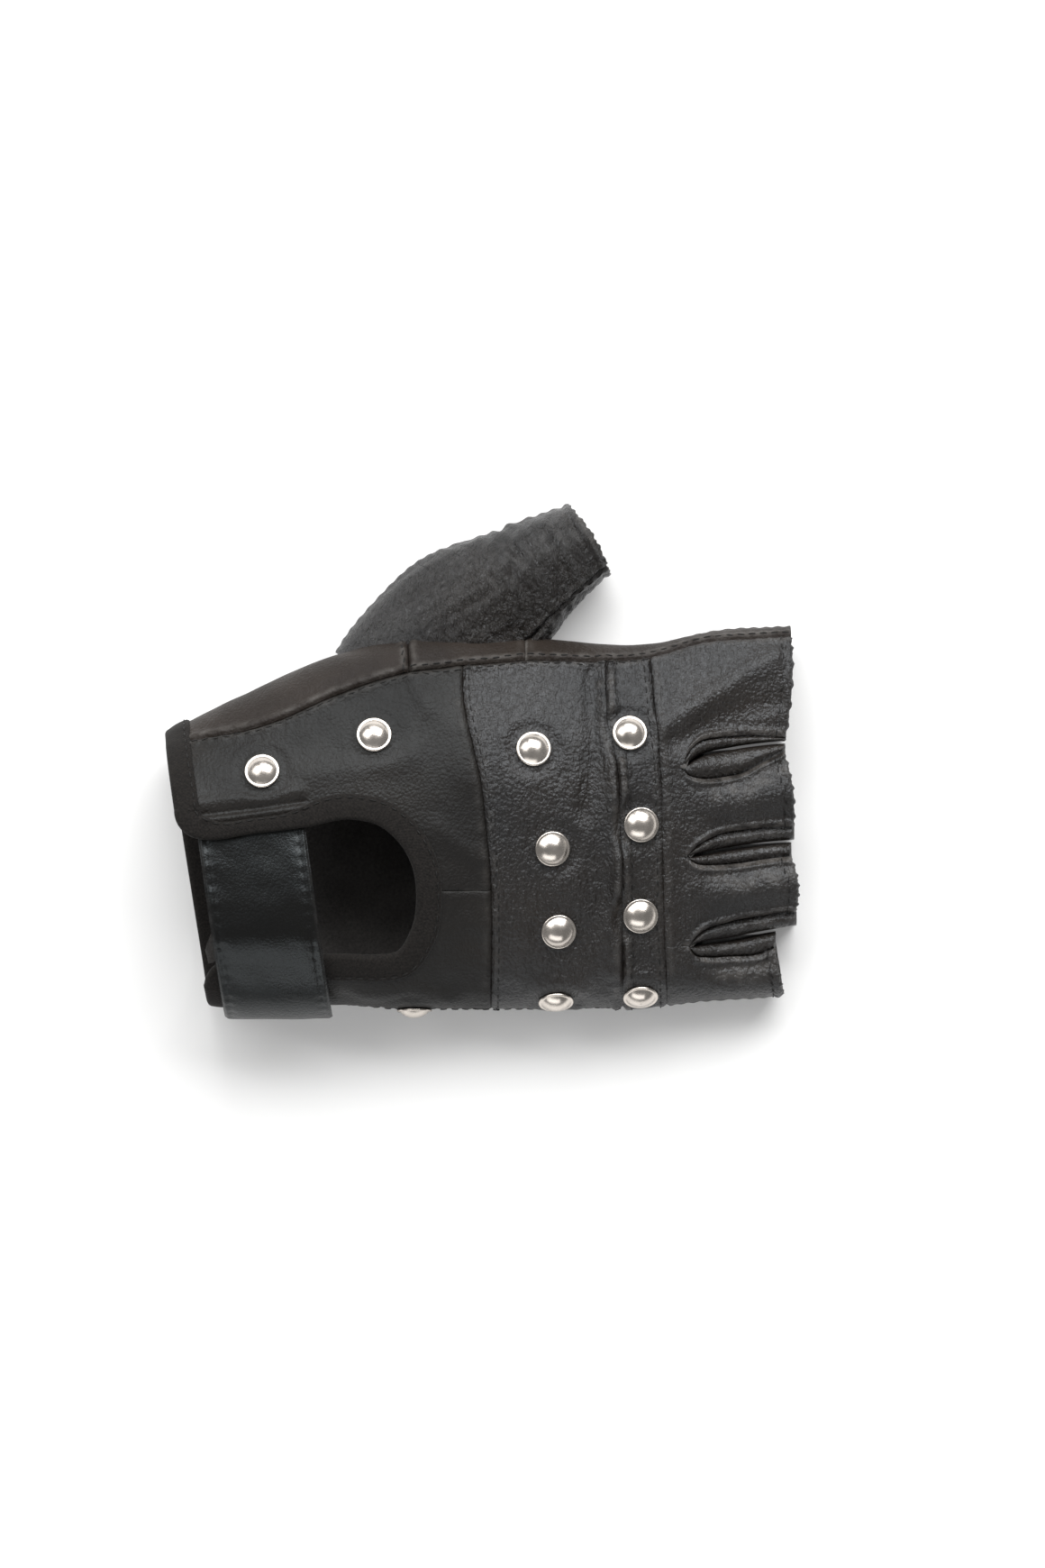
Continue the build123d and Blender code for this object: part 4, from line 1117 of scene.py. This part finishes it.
def palmGrids():
    # Four strips from the wrist edge to the fingers' ends; neighbours share a line as far as the crotch.
    before, after, crotch = palmSheet["before"], palmSheet["after"], palmSheet["crotch"]
    wrist, ends = crossing("wristEdge"), crossing("fingerEnds")
    v = edgeDense(palmSheet["across"], 0.3)

    def divider(groove, side, sign):
        middle = lambda x: np.interp(x, *groove["palm"])
        tip = (crotch, float(middle(crotch)))
        startY = tip[1] * 0.8 - 4
        xs = np.array([crotch, crotch + 0.4, crotch + 1.2, 62, 70, groove[side][-1][0] - 0.3])
        wide = palmSheet["gap"] * np.array([0, 0.6, 0.95, 1, 1, 1])
        line = np.stack([xs, middle(xs) + sign * wide], -1)
        plan = stepped((wristLineX(startY), startY), tip, line, before, after)
        return np.stack([plan[:, 0], soleTurn(plan[:, 0], plan[:, 1])], -1)

    def outerEdge(lengthwise, side):
        near, far = meet(wrist, lengthwise, -80.0)[0], meet(ends, lengthwise, fingersEnd[side])[0]
        return sideLine(lengthwise, near, crotch, far, before, np.linspace(0, 1, after + 1))

    grids, wearsAndHighlights = [], []
    for k in range(4):
        first = outerEdge(palmSeamBelow, "thumb") if k == 0 else divider(grooves[k - 1], "lower", -1)
        last = outerEdge(littleSideSeam, "little") if k == 3 else divider(grooves[k], "upper", 1)
        tLeft = first[0, 1] + (last[0, 1] - first[0, 1]) * v
        tRight = first[-1, 1] + (last[-1, 1] - first[-1, 1]) * v
        left = np.stack([wrist(tLeft), tLeft], -1)
        xRight = first[-1, 0] + (last[-1, 0] - first[-1, 0]) * v + 0.5 * np.sin(np.pi * v)
        right = np.stack([xRight, tRight], -1)
        places = coons(first, last, left, right, np.linspace(0, 1, before + after + 1), v)
        points = handSurface(places[..., 0], places[..., 1])
        extra = sum(depth * hump(lineDistance(points, line), width)
                    for line, depth, width in palmSheet["creases"])
        seams = {0: {"first": 0.9}, 3: {"last": 0.9}}.get(k, {})
        shaped, wearAndHighlight = shapedLeather(places, seams, extra, folds=False, inwardOnly=True)
        shaped[..., 2] = np.maximum(shaped[..., 2], palmSheet["floor"])
        grids.append(shaped)
        wearsAndHighlights.append(wearAndHighlight)
    return grids, wearsAndHighlights


palmParts, palmWearsAndHighlights = palmGrids()
leatherPiece("palmPanel", palmParts, palmWearsAndHighlights, ["palm_panel"],
             drop=[inThumbHole(grid) for grid in palmParts])

gussetLook = {
    "rows": 54, "columns": 26,
    "overTo": 0.62,  # the share of the wall that swells over to the crease
    "creaseGap": 0.32,  # each wall stays this far from the crease
    "depth": (0.5, 2.7),  # how deep the crease starts, and how much deeper it gets
    "tuck": 0.25, "swell": 0.85, "footLift": 0.3, "footReach": 0.6,
    # the wall's pale value is a highlight painted along its upper part, towards the rim
    "ripple": 0.35, "fineRipple": 0.12, "rimGroove": 0.5, "wearAndHighlight": 0.35,
}


def gussetWall(rim, palmEdge, crease, sign):
    # From the rim the leather swells over to the crease, a quarter ellipse, and drops to the palm's edge; a
    # highlight is painted along its upper part, near the rim.
    look, share, overTo = gussetLook, np.linspace(0, 1, gussetLook["rows"]), gussetLook["overTo"]
    top, foot = (pick(line, np.linspace(0, 1, len(line)), share) for line in (rim, palmEdge))
    creaseY = smoothThrough(*crease, top[:, 0]) + sign * look["creaseGap"] * ease(share, 0, 0.08)
    b = np.linspace(0, 1, look["columns"])[None, :]
    over = np.clip(b / overTo, 0, 1) * np.pi / 2
    below = np.clip((b - overTo) / (1 - overTo), 0, 1)
    depth = look["depth"][0] + look["depth"][1] * ease(share, 0.0, 0.35)[:, None]
    opened = ease(share, 0, 0.2)[:, None]
    y = top[:, 1:2] + (creaseY[:, None] - top[:, 1:2]) * np.sin(over) ** 0.9
    z = top[:, 2:3] - look["tuck"] + look["swell"] * np.sin(2 * over) * opened - depth * (1 - np.cos(over))
    y = y + (foot[:, 1:2] - creaseY[:, None]) * below
    z = z + (foot[:, 2:3] + look["footLift"] - z[:, -1:]) * below
    towardsFoot = np.minimum(foot[:, 0:1] - top[:, 0:1], look["footReach"])
    x = top[:, 0:1] + towardsFoot * below * (share[:, None] > 0.5)
    points = np.stack([x + 0 * y, y, z], -1)
    waves = look["ripple"] * ripples(points * np.array([1.0, 0.4, 0.4]), 9, 5)
    waves += look["fineRipple"] * ripples(points, 3.5, 6)
    points[..., 2] += waves * np.sin(np.pi * np.clip(b, 0, overTo) / overTo) * opened
    points[..., 2] -= look["rimGroove"] * hump(b / overTo * 7, 1.0) * ease(share, 0, 0.1)[:, None]
    return points, np.broadcast_to(look["wearAndHighlight"] * hump((b / overTo - 0.35) * 6, 1.6), y.shape)


for k, groove in enumerate(grooves):
    before, palmBefore, crease = fingerBacks["before"], palmSheet["before"], groove["crease"]
    upperRim, lowerRim = fingerGrids[k][before:, -1], fingerGrids[k + 1][before:, 0]
    upperFoot, lowerFoot = palmParts[k][palmBefore:, -1], palmParts[k + 1][palmBefore:, 0]
    upper, upperHighlight = gussetWall(upperRim, upperFoot, crease, 1)
    lower, lowerHighlight = gussetWall(lowerRim, lowerFoot, crease, -1)
    leatherPiece(groove["name"], [upper, lower[:, ::-1]], [upperHighlight, lowerHighlight[:, ::-1]], [groove["node"]],
                 thickness=leatherLook["gussetThickness"],
                 direction=lambda c: np.stack([0 * c[:, 0], smoothThrough(*crease, c[:, 0]) - c[:, 1],
                                               0 * c[:, 0] + 0.4], -1))
print("fingers and palm made")

frontSeam, outerSeam = thumbStall["frontSeam"], thumbStall["outerSeam"]
thumbBackPoints = thumbHalf("thumbBack", (frontSeam, outerSeam), ["thumb_back"], 41)
thumbFrontPoints = thumbHalf("thumbFront", (outerSeam, frontSeam - 360), ["thumb_front"], 44)
print("thumb made")

bindingLook = {
    "width": 5.3, "thickness": 0.75, "leather": 1.0,
    "flatRows": 16, "bendRows": 9,
    "edgePress": [0.62, 0.12],  # how far the tape's edge, and the row beside it, press into the leather
    "swell": 0.22, "wobble": 0.10, "floor": 0.02,
}


def foldedTape(name, places, count, replaced, narrowing=lambda share: 1.0):
    # places(share, distance) gives (x, turn) that far in from the edge. The tape's profile goes from the
    # outside round the leather's edge in a half circle and back along the inside; a hidden wall closes it.
    look, flat = bindingLook, bindingLook["flatRows"]
    leatherHalf = look["leather"] / 2
    reach = leatherHalf + look["thickness"]
    over = np.linspace(look["width"], 0, flat)
    bend = np.linspace(0, np.pi, look["bendRows"] + 2)[1:-1]
    distance = np.concatenate([over, -np.sin(bend) * reach, over[::-1]])
    height = np.concatenate([np.full(flat, reach), np.cos(bend) * reach, np.full(flat, -reach)])
    for k, press in enumerate(look["edgePress"]):
        height[k] -= press
        height[-1 - k] += press
    height[2:flat] += look["swell"] * np.sin(np.linspace(0, np.pi, flat - 2))
    s, d = np.meshgrid(np.linspace(0, 1, count), distance, indexing="ij")
    spot = places(s, np.maximum(d, 0.0) * narrowing(s))
    points, normals = handSurface(spot[..., 0], spot[..., 1]), outward(spot[..., 0], spot[..., 1])
    inside, edge = places(s, np.full(s.shape, 1.0)), places(s, np.zeros(s.shape))
    away = unit(handSurface(edge[..., 0], edge[..., 1]) - handSurface(inside[..., 0], inside[..., 1]))
    lifted = height - leatherHalf + 0.05 + look["wobble"] * ripples(points, 7, 51) + drape(points, normals)
    points = points + normals * lifted[..., None] + away * np.maximum(-d, 0)[..., None]
    points[..., 2] = np.maximum(points[..., 2], look["floor"])
    run = runAlong(points[:, 8])[:, None]
    round = np.cumsum(np.abs(np.diff(distance, prepend=look["width"])))[None]
    uv = np.stack(np.broadcast_arrays(run, round), -1).reshape(-1, 2)
    obj = placeMesh(name, points.reshape(-1, 3), gridFaces(*s.shape, wrap=True), uv=uv)

    def closeEnds(bm):
        bmesh.ops.holes_fill(bm, edges=[edge for edge in bm.edges if edge.is_boundary])
        bmesh.ops.recalc_face_normals(bm, faces=bm.faces)

    editMesh(obj, closeEnds)
    finishPiece(obj, [bindingTape], replaced, "glove")
    return points


def keyholePlaces(share, distance):
    # Away from the hole, square to its edge in plan.
    line, side = keyholeSides(600)
    rows = np.linspace(0, 1, 600)
    return planToTurn(pick(line, rows, share) + pick(side, rows, share) * np.asarray(distance)[..., None])


def wristPlaces(share, distance):
    # Round the cuff from the keyhole over the thumb side and the sole to the keyhole's other side.
    start = float(topTurn(-75.0, cuffCorner["thumbY"] - 0.6))
    end = float(topTurn(-70.0, cuffCorner["littleY"] + 0.6)) - 11
    turn = start + (end - start) * share
    return np.stack([crossing("wristEdge")(turn) + distance, turn], -1)


def besideStrap(share):
    # The tape's outer reach: narrower on the straight edge over the strap's root.
    x = keyholePlaces(share, 0.0 * share)[..., 0]
    return 1 - 0.5 * ease(share, 0.04, 0.12) * (1 - ease(x, -52, -38)) * (share < 0.5)


tapes = [foldedTape("keyholeBinding", keyholePlaces, 240, ["keyhole_binding"], besideStrap),
         foldedTape("wristBinding", wristPlaces, 300, ["wrist_binding"])]
print("bindings made")

# The wrist's two arcs in a section: each one's centre (y, z) and radius, and the angle where the first ends
wristArcs = {"crown": (-19.98, -16.3, 57.3), "side": (-45.53, 16.81, 15.48), "crownEnd": 127.7}
strapLook = {
    "thickness": 1.6, "offset": 3.9, "width": 27.5, "leanStart": -69.95, "lean": 0.139, "keyholeY": -32.98,
    "startAngle": 118.0, "endAngle": 176.0, "corner": 2.2,
    # (y, z) of the outer face, from under the leather over the keyhole to where the arcs start
    "over": [(-9.0, 38.3), (-14.0, 38.9), (-18.5, 39.3), (-27.0, 40.3), (-37.0, 40.7), (-41.0, 40.4),
             (-44.0, 39.8), (-46.5, 38.85)],
    "overRows": 119, "tipFrom": 0.62,  # the share of that stretch where the tip's piece starts
    "swell": 0.30, "stitchDip": 0.16, "edgeRound": 0.45, "pucker": 0.05, "puckerLength": 3.2,
    "wave": 0.42, "fineWave": 0.10, "seed": 61,
}
# Where the strap bends: the two bodies, and where the stretch between them starts and ends, in metres
strapFold = {"bodies": ("glove", "strap"), "start": (-0.058, -0.0172, 0.039), "end": (-0.058, -0.0215, 0.039)}
tipFold = {"bodies": ("strap", "strap_tip"),
           "start": (-0.054, -0.0455, 0.0377), "end": (-0.054, -0.0515, 0.0377)}


def wristArc(degrees, reach):
    # y and z on the crown's arc as far as its end, and then on the side's, both wider by reach.
    onCrown = (degrees <= wristArcs["crownEnd"])[..., None]
    y, z, radius = np.moveaxis(np.where(onCrown, wristArcs["crown"], wristArcs["side"]), -1, 0)
    a = np.radians(degrees)
    return y + (radius + reach) * np.cos(a), z + (radius + reach) * np.sin(a)


def strapLine():
    # The outer face's path (y, z): under the leather, over the keyhole, then outside the wrist's own arcs.
    end = wristArcs["crownEnd"]
    degrees = np.concatenate([np.linspace(strapLook["startAngle"], end, 20),
                              np.linspace(end, strapLook["endAngle"], 60)[1:]])
    arc = np.stack(wristArc(degrees, strapLook["offset"]), -1)
    over = pathThrough(strapLook["over"] + [tuple(arc[0])], np.linspace(0, 1, strapLook["overRows"] + 1))[:-1]
    return np.concatenate([over, arc])


strapPath = strapLine()
strapRun = runAlong(strapPath)


def strapStart(y):
    # x of the strap's edge towards the wrist, which leans.
    return strapLook["leanStart"] - strapLook["lean"] * (y - strapLook["keyholeY"])


def strapSurface(run, across):
    # across 0 to 1 is from the wrist's edge of the strap to the hand's edge; the corners are rounded in plan.
    y, z = np.moveaxis(pick(strapPath, strapRun, run), -1, 0)
    radius = strapLook["corner"]
    beside = np.clip((strapRun[-1] - run) / radius, 0, 1)
    corner = radius * (1 - np.sqrt(np.clip(1 - (1 - beside) ** 2, 0, 1)))
    return np.stack([strapStart(y) + corner + (strapLook["width"] - 2 * corner) * across, y, z], -1)


def strapPiece(name, runs, replaced, fold):
    # The face swells between its stitched edges and dips at the stitches.
    run, across = np.meshgrid(runs, edgeDense(64, 0.7), indexing="ij")
    points = strapSurface(run, across)
    byAcross = strapSurface(run, across + 0.01) - strapSurface(run, across - 0.01)
    byRun = strapSurface(run + 0.3, across) - strapSurface(run - 0.3, across)
    normals = outwardNormals(byAcross, byRun, points, fromStrap)
    edge = np.minimum(across, 1 - across) * strapLook["width"]
    if name == "strapTip":
        edge = np.minimum(edge, strapRun[-1] - run)
    look, pucker = strapLook, np.sin(run * 2 * np.pi / strapLook["puckerLength"])
    lift = look["swell"] * ease(edge, 1.6, 5.0) + look["pucker"] * pucker * hump(edge - 2.0, 1.3)
    lift -= look["stitchDip"] * hump(edge - 1.9, 0.55) + look["edgeRound"] * hump(edge, 0.45)
    lift += look["wave"] * ripples(points, 18, look["seed"])
    lift += look["fineWave"] * ripples(points, 6, look["seed"] + 2)
    points = points + normals * lift[..., None]
    obj = joinGrids(name, [points], [hump(edge - 0.3, 0.5)])
    orientOutward(obj, fromStrap)
    editMesh(obj, hardenRim)
    finishSheet(obj, strapLook["thickness"], [strapLeather, leatherInside], replaced, fold)
    return points


def hardenRim(bm):
    # The sheet's boundary is shaded as a hard edge, so that two sheets that meet there look like one.
    for edge in bm.edges:
        edge.smooth = not edge.is_boundary


half, strapEnd = strapRun[strapLook["overRows"]] * strapLook["tipFrom"], strapRun[-1]
strapPoints = strapPiece("strapBand", np.linspace(0, half, 70), ["strap_root", "strap"], strapFold)
tipRuns = np.concatenate([np.linspace(half, strapEnd - 4, 90), np.linspace(strapEnd - 3.9, strapEnd, 24)])
strapTipPoints = strapPiece("strapTip", tipRuns, ["strap_tip"], tipFold)

patchRim = {"drop": 0.25, "width": 0.6, "stitchAt": 1.6, "stitchDip": 0.15, "stitchWidth": 0.4}
# Each patch: the angles that it spans, its lower and upper reach from the wrist's arc, its inset from the
# strap's edges, its material, its CAD node, its body and its slot
patches = {
    "hookPatch": ((132.5, 174.5), (1.3, 2.2), 2.5, hookTape, "hook_patch", "strap_tip", "hook_tape"),
    "loopPatch": ((130.5, 176.0), (-0.2, 0.95), 1.3, loopTape, "loop_patch", "glove", "loop_tape"),
}


def patchPiece(name, angles, reaches, inset, material, replaced, body, slot):
    # A flat tape that follows the wrist's side arc, with a low rim where it is stitched down.
    angle, across = np.meshgrid(np.linspace(*angles, 90), edgeDense(50, 0.5), indexing="ij")
    y, z = wristArc(angle, reaches[1])
    width = strapLook["width"] - 2 * inset
    fromEdge = np.minimum(across, 1 - across) * width
    lift = -patchRim["drop"] * hump(fromEdge, patchRim["width"])
    lift -= patchRim["stitchDip"] * hump(fromEdge - patchRim["stitchAt"], patchRim["stitchWidth"])
    a = np.radians(angle)
    radial = np.stack([0 * a, np.cos(a), np.sin(a)], -1)
    points = np.stack([strapStart(y) + inset + width * across, y, z], -1) + radial * lift[..., None]
    obj = placeMesh(name, points.reshape(-1, 3), gridFaces(*angle.shape))
    orientOutward(obj, fromStrap)
    finishSheet(obj, reaches[1] - reaches[0], [material], [replaced], body)


for name, look in patches.items():
    patchPiece(name, *look)
print("strap and patches made")

stitchLook = {
    "length": 1.9, "pitch": 2.9, "radius": 0.24,
    "gloveLift": 0.02, "tapeLift": 0.05, "strapLift": -0.17,  # how far each lies off the leather's face
}


def stitchShape():
    # A capsule of four sides: two tips and three rings.
    alongIt, wide = np.array([-1, -0.7, 0.0, 0.7, 1]), np.array([0.0, 0.75, 1.0, 0.75, 0.0])
    turn = np.arange(4) * np.pi / 2 + 0.78
    rings = [alongIt[:, None] + 0 * turn, wide[:, None] * np.cos(turn), wide[:, None] * np.sin(turn)]
    size = np.array([stitchLook["length"] / 2, stitchLook["radius"], stitchLook["radius"]])
    return np.stack(rings, -1).reshape(-1, 3) * size, gridFaces(5, 4, wrap=True)


def stitchRow(points, normals, lift):
    # Stitches at even steps along a line of points; each lies along the line, lifted along its normal.
    run = runAlong(points)
    count = max(2, int(run[-1] / stitchLook["pitch"]))
    at = (np.arange(count) + 0.5) / count * run[-1]
    ahead = unit(pick(points, run, at + 0.8) - pick(points, run, at - 0.8))
    up = unit(pick(normals, run, at))
    side = unit(np.cross(up, ahead))
    up = np.cross(ahead, side)
    shape, faces = stitchShape()
    made = (pick(points, run, at)[:, None] + up[:, None] * lift + ahead[:, None] * shape[None, :, :1]
            + side[:, None] * shape[None, :, 1:2] + up[:, None] * shape[None, :, 2:])
    return made.reshape(-1, 3), (faces[None] + (np.arange(count) * len(shape))[:, None, None]).reshape(-1, 4)


def insetLine(points, side, inset, low=0.0, high=1.0):
    # The line at a distance in from one edge of a grid, between two shares of it, with the normals there.
    normals = outwardNormals(np.gradient(points, axis=0), np.gradient(points, axis=1), points, fromGlove)
    if side in ("first", "last"):
        points, normals = points.transpose(1, 0, 2), normals.transpose(1, 0, 2)
    if side in ("right", "last"):
        points, normals = points[::-1], normals[::-1]
    row = np.clip((np.linalg.norm(points - points[:1], axis=-1) < inset).sum(0), 1, len(points) - 1)
    column = np.arange(int(low * len(row)), int(high * len(row)))
    return points[row[column], column], normals[row[column], column]


def stitchPiece(name, rows, body):
    # All stitches of one body as one mesh, their tips closed.
    vertices, faces, start = [], [], 0
    for (points, normals), lift in rows:
        v, f = stitchRow(points, normals, lift)
        vertices.append(v)
        faces.append(f + start)
        start += len(v)
    obj = placeMesh(name, np.concatenate(vertices), np.concatenate(faces))

    def closeTips(bm):
        bmesh.ops.remove_doubles(bm, verts=bm.verts, dist=0.00001)
        bmesh.ops.recalc_face_normals(bm, faces=bm.faces)

    editMesh(obj, closeTips)
    finishPiece(obj, [thread], [], body)


gloveLines = [
    (bandPoints, "left", 1.5), (stripPoints, "left", 2.4), (stripPoints, "right", 1.5),
    (bandPoints, "first", 1.6),
    (backThumbPoints, "first", 1.6), (stripPoints, "first", 1.6), (thumbSidePoints, "right", 1.4),
    (indexSidePoints, "first", 1.4), (thumbGussetPoints, "first", 1.4), (bandPoints, "last", 1.5),
    (backLittlePoints, "first", 1.6), (thumbBackPoints, "first", 1.5, 0.5, 0.97),
    (thumbFrontPoints, "last", 1.5, 0.5, 0.97), *((grid, "right", 2.4) for grid in fingerGrids),
]
gloveRows = [(insetLine(*line), stitchLook["gloveLift"]) for line in gloveLines]
for tape in tapes:
    rows = tape[:, 2:5]  # the stitches lie on the middle one of these
    normals = outwardNormals(np.gradient(rows, axis=0), np.gradient(rows, axis=1), rows, fromGlove)
    gloveRows.append(((rows[:, 1], normals[:, 1]), stitchLook["tapeLift"]))
strapLines = [(strapPoints, "first", 1.9, 0.2, 1.0), (strapPoints, "last", 1.9, 0.2, 1.0)]
tipLines = [(strapTipPoints, "first", 1.9, 0.0, 0.97), (strapTipPoints, "last", 1.9, 0.0, 0.97),
            (strapTipPoints, "right", 1.9, 0.12, 0.88)]
stitchPiece("stitchesGlove", gloveRows, "glove")
for name, lines, fold in (("stitchesStrap", strapLines, strapFold), ("stitchesTip", tipLines, tipFold)):
    stitchPiece(name, [(insetLine(*line), stitchLook["strapLift"]) for line in lines], fold)
print("stitches made")

for row in rivetRows:
    for cadNode, material in ((f"rivet_caps_{row}", nickel), (f"rivet_posts_{row}", steel)):
        nodes[cadNode].data.materials.clear()
        nodes[cadNode].data.materials.append(material)

studio = {
    "camera": (0.01035, -0.00483, 3.02), "lens": 270.0, "sensor": 36.0, "near": 0.1, "far": 20,
    "world": 0.24, "floor": (0.86, 0.86, 0.855, 1), "floorGlow": 0.12, "floorHalf": 4000, "floorZ": -0.02,
    # Each lamp: its place, its two sides and its power
    "lamps": [((0.35, 1.2, 1.2), (1.8, 1.2), 44.0), ((-0.95, 0.75, 1.2), (1.2, 1.2), 12.0),
              ((-0.2, -1.35, 0.8), (1.8, 0.7), 7.0)],
}


def addToScene(name, data, place):
    # A lamp or camera at its place.
    obj = bpy.data.objects.new(name, data)
    bpy.context.scene.collection.objects.link(obj)
    obj.location = place
    return obj


def softLamp(name, place, size, power):
    # A flat lamp that points at the object.
    lamp = bpy.data.lights.new(name, "AREA")
    lamp.shape, lamp.size, lamp.size_y, lamp.energy = "RECTANGLE", size[0], size[1], power
    towards = Vector((0, 0, 0.02)) - Vector(place)
    addToScene(name, lamp, place).rotation_euler = towards.to_track_quat("-Z", "Y").to_euler()


for k, (place, size, power) in enumerate(studio["lamps"]):
    softLamp(f"lamp{k + 1}", place, size, power)

# The world lights the glove softly and is white to the camera.
world = bpy.data.worlds.new("studioWorld")
bpy.context.scene.world = world
world.use_nodes = True
worldTree = world.node_tree
background = worldTree.nodes["Background"]
background.inputs["Color"].default_value = (1, 1, 1, 1)
toCamera = node(worldTree, "LightPath").outputs["Is Camera Ray"]
worldTree.links.new(ramp(worldTree, toCamera, 0.0, 1.0, studio["world"], 1.0), background.inputs["Strength"])

# The floor's glow is seen by the camera and in reflections, and lights nothing.
r, z = studio["floorHalf"], studio["floorZ"]
floorMesh = placeMesh("floor", [(-r, -r, z), (r, -r, z), (r, r, z), (-r, r, z)], [(0, 1, 2, 3)])
floorMaterial, floorTree, floorShader = startMaterial(
    "paleFloor", {"Roughness": 0.8, "Specular IOR Level": 0.2, "Base Color": studio["floor"]})[:3]
floorGlow = node(floorTree, "Emission", {"Color": (1, 1, 1, 1), "Strength": studio["floorGlow"]})
floorNothing = node(floorTree, "Emission", {"Color": (0, 0, 0, 1), "Strength": 0.0})
floorPath = node(floorTree, "LightPath").outputs
floorSeen = calc(floorTree, "MAXIMUM", floorPath["Is Camera Ray"], floorPath["Is Glossy Ray"])
floorPick = node(floorTree, "MixShader", {0: floorSeen, 1: floorNothing.outputs[0], 2: floorGlow.outputs[0]})
floorSum = node(floorTree, "AddShader", {0: floorShader.outputs[0], 1: floorPick.outputs[0]})
floorTree.links.new(floorSum.outputs[0], floorTree.nodes["Material Output"].inputs["Surface"])
floorMesh.data.materials.append(floorMaterial)

cameraData = bpy.data.cameras.new("camera")
cameraData.lens, cameraData.sensor_width = studio["lens"], studio["sensor"]
cameraData.clip_start, cameraData.clip_end = studio["near"], studio["far"]
bpy.context.scene.camera = addToScene("camera", cameraData, studio["camera"])
bpy.context.scene.view_settings.view_transform = "Standard"
